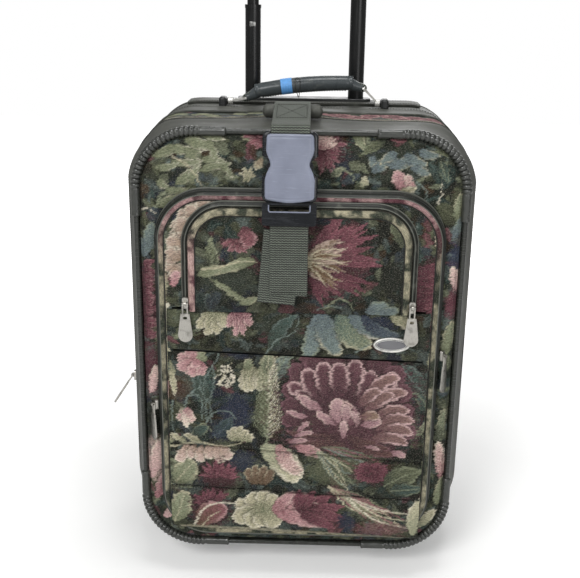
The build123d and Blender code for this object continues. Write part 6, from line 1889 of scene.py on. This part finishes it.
def carry_handle():
    x = np.concatenate([[-57.0, -56.9, -56.2], np.linspace(-55, 55, 90), [56.2, 56.9, 57.0]])
    line = np.stack([x, x * 0, arch_line(x)], 1)
    radius = 8.7 + 0.25 * np.cos(x / 18) - 0.5 * ease(np.abs(x), 44, 57) + 0.12 * lump(x, x * 0, 9, 71)
    radius[[0, -1]], radius[[1, -2]], radius[[2, -3]] = 6.0, 7.4, 8.2
    radius = radius - 0.45 * groove(np.abs(x) - 52.5, 0.9)
    grip = Form().rope(carried(line), radius, 40, flat=1.1)
    item = grip.end("carry_grip_cover", GRIP_SKIN, "carry_handle", ["carry_grip"], "grip", sharp=70)
    x = np.linspace(-50, 50, 70)
    seam = carried(np.stack([x, x * 0 + 1.6, arch_line(x) - 8.75], 1))
    form = Form().stitches(seam, (0, 0, -1), 3.0, 2.2, 0.5, 0.5)
    seam = carried(np.stack([x, x * 0 - 1.6, arch_line(x) - 8.75], 1))
    form.stitches(seam, (0, 0, -1), 3.0, 2.2, 0.5, 0.5)
    form.end("carry_grip_stitches", DARK_THREAD, "carry_handle", slot="grip")
    web = Form()
    for side in (-1, 1):
        centre = np.array([68.5, -6.5])
        a = np.radians(np.linspace(78, -128, 26))
        loop = centre + 3.3 * np.stack([np.cos(a), np.sin(a)], 1)
        path = np.vstack([[(50, 3.6), (57.5, 2.2), (63, -0.6)], loop, [(61.5, -7.6), (57.0, -4.8), (50, -2.2)]])
        path = rounded_path(path, 1.0, 0.9)
        line = np.stack([side * path[:, 0], path[:, 0] * 0, path[:, 1]], 1)
        web.ribbon(carried(line), (0, 1, 0), 8.4, 2.0)
    web.end("carry_web", WEBBING, "carry_handle", ["carry_core"], "webbing")
    tabs = Form()
    for side in (-1, 1):
        t = np.linspace(0, 1, 22)
        line = np.stack([side * (51 + 18.5 * t), 0 * t, 1.0 - 7.4 * t - 1.2 * np.sin(math.pi * t)], 1)
        radius = 6.9 - 1.9 * ease(t, 0.1, 0.9)
        radius[0], radius[-1], radius[-2] = 5.0, 2.6, 4.2
        tabs.rope(carried(line), radius, 24, flat=1.15)
    tabs.end("carry_tabs", GRIP_SKIN, "carry_handle", slot="grip")
    x = np.linspace(-26.4, -13.6, 18)
    line = carried(np.stack([x, x * 0, arch_line(x)], 1))
    Form().rope(line, 9.15 + 0.1 * np.sin(x * 2.1), 40, flat=1.1).end("marker_tape_wrap", BLUE, "carry_handle",
            ["marker_tape"], "blue_tape")
    a = np.linspace(0, 2 * math.pi, 40, endpoint=False)
    x = -7.0 + 2.6 * np.cos(a) + 0.8 * np.sin(2 * a)
    loop = np.stack([x, 0.5 * np.sin(a) - 9.7, arch_line(x) - 2 + 11.2 * np.sin(a)], 1)
    Form().rope(carried(loop), 0.4, 8, True).end("tag_thread", DARK_THREAD, "carry_handle", slot="grip")


def handle_details():
    """Lock window on the left tube and the ribbed panel of the pull grip."""
    a = np.radians(np.linspace(-112, -68, 12))
    rows = []
    for z, r in ((602.2, 9.0), (602.4, 9.32), (603.0, 9.42), (607.0, 9.42), (607.6, 9.32), (607.8, 9.0)):
        rows.append(np.stack([-POST_X + r * np.cos(a), POST_Y + r * np.sin(a), a * 0 + z], 1))
    Form().grid(np.array(rows)).end("lock_window", STEEL, "stage_left", slot="silver", face=(0, -1, 0))
    form = Form()
    for k in range(13):
        x = -48 + 8 * k
        z = 941 + 30 - 0.35
        if abs(x) < 26:
            continue
        a = np.linspace(-1, 1, 12)
        form.rope(np.stack([a * 0 + x, 106 + 8.5 * a, z + 0.25 - 0.8 * a**6], 1), 0.8, 8, ref=(1, 0, 0))
    form.end("pull_grip_ribs", BLACK, "pull_handle", slot="black_plastic")


strap()
buckle_front()
badge_face()
carry_handle()
handle_details()

# ---- CAD nodes that stay, with their materials
KEPT = {
    TUBE: ["outer_tubes", "stage_tube_left", "stage_tube_right", "inner_tubes"],
    EDGE_TUBE: ["edge_tube"],
    BLACK: ["tube_bracket", "handle_bezel", "wheel_housing_right", "wheel_housing_left", "front_feet", "skid_rails",
            "pull_grip", "grip_button", "carry_anchors"],
    TYRE: ["wheel_tyre_right", "wheel_tyre_left"],
    HUB: ["wheel_hub_right", "wheel_hub_left"],
    STEEL: ["wheel_axles"],
    BUCKLE_RIM: ["buckle_shell", "buckle_insert"],
    BADGE_RIM: ["badge"],
    RING: ["carry_rings"],
    SILVER: [kind + name for kind in ("slider_", "pull_")
             for name in ("main", "large_left", "large_right", "small_left", "small_right")],
}
for look, names in KEPT.items():
    for name in names:
        mesh = nodes[name].data
        mesh.materials.clear()
        mesh.materials.append(look)


# ---- camera, light and floor
def studio():
    yaw, pitch, roll = (math.radians(v) for v in (1.205, 17.596, 0.824))
    ahead = Vector((-math.sin(yaw) * math.cos(pitch), math.cos(yaw) * math.cos(pitch), -math.sin(pitch)))
    right = ahead.cross(Vector((0, 0, 1))).normalized()
    up = right.cross(ahead)
    right, up = math.cos(roll) * right + math.sin(roll) * up, -math.sin(roll) * right + math.cos(roll) * up
    data = bpy.data.cameras.new("camera")
    data.lens, data.sensor_width, data.sensor_fit = 56.79, 36.0, "HORIZONTAL"
    camera = bpy.data.objects.new("camera", data)
    bpy.context.scene.collection.objects.link(camera)
    turn = Matrix((right, up, -ahead)).transposed().to_4x4()
    camera.matrix_world = Matrix.Translation((0.0099, -1.0210, 0.63385)) @ turn
    bpy.context.scene.camera = camera

    def lamp(name, place, aim, size, power):
        light = bpy.data.lights.new(name, "AREA")
        light.shape, light.size, light.energy = "DISK", size, power
        item = bpy.data.objects.new(name, light)
        bpy.context.scene.collection.objects.link(item)
        item.location = place
        item.rotation_euler = (Vector(aim) - Vector(place)).to_track_quat("-Z", "Y").to_euler()

    lamp("key", (-0.9, -2.0, 1.9), (0, 0, 0.3), 1.0, 38)
    lamp("fill", (1.1, -2.1, 0.9), (0, 0, 0.3), 1.3, 14)
    lamp("top", (0.1, -0.2, 2.1), (0, 0, 0.3), 0.7, 13)
    lamp("back", (0.3, 2.0, 1.0), (0, 0, 0.2), 1.5, 14)

    world = bpy.data.worlds.new("world")
    bpy.context.scene.world = world
    world.use_nodes = True
    tree = world.node_tree
    back = tree.nodes["Background"]
    back.inputs["Color"].default_value = (1, 1, 1, 1)
    path = tree.nodes.new("ShaderNodeLightPath")
    seen = tree.nodes.new("ShaderNodeMath")
    seen.operation = "MAXIMUM"
    tree.links.new(path.outputs["Is Camera Ray"], seen.inputs[0])
    tree.links.new(path.outputs["Is Transmission Ray"], seen.inputs[1])
    level = tree.nodes.new("ShaderNodeMapRange")
    level.inputs["To Min"].default_value = 0.3
    level.inputs["To Max"].default_value = 1.0
    tree.links.new(seen.outputs[0], level.inputs["Value"])
    tree.links.new(level.outputs[0], back.inputs["Strength"])

    mesh = bpy.data.meshes.new("floor")
    corners = [(-4, -4, 0), (4, -4, 0), (4, 4, 0), (-4, 4, 0)]
    mesh.from_pydata(corners, [], [(0, 1, 2, 3)])
    floor = bpy.data.objects.new("floor", mesh)
    bpy.context.scene.collection.objects.link(floor)
    look = Look("floor")
    speck = look.noise(0.02, 3.0)
    colour = look.shade(rgba("f2f2f1"), look.ramp(speck, 0.3, 0.7, 0.985, 1.0))
    look.end(colour, look.ramp(speck, 0.3, 0.7, 0.8, 0.9))
    glow = look.add("ShaderNodeEmission")
    glow.inputs["Color"].default_value = (1, 1, 1, 1)
    lit = look.add("ShaderNodeAddShader")
    look.tree.links.new(look.shader.outputs[0], lit.inputs[0])
    look.tree.links.new(glow.outputs[0], lit.inputs[1])
    path = look.add("ShaderNodeLightPath")
    x, y, _ = look.split()
    far = look.math("SQRT", look.math("ADD", look.math("MULTIPLY", x, x), look.math("MULTIPLY", y, y)))
    fade = look.ramp(far, 350.0, 1300.0, 0.2, 1.0)
    look.tree.links.new(look.math("MULTIPLY", path.outputs["Is Camera Ray"], fade), glow.inputs["Strength"])
    look.tree.links.new(lit.outputs[0], look.tree.nodes["Material Output"].inputs["Surface"])
    mesh.materials.append(look.mat)
    view = bpy.context.scene.view_settings
    view.view_transform = "Standard"


studio()
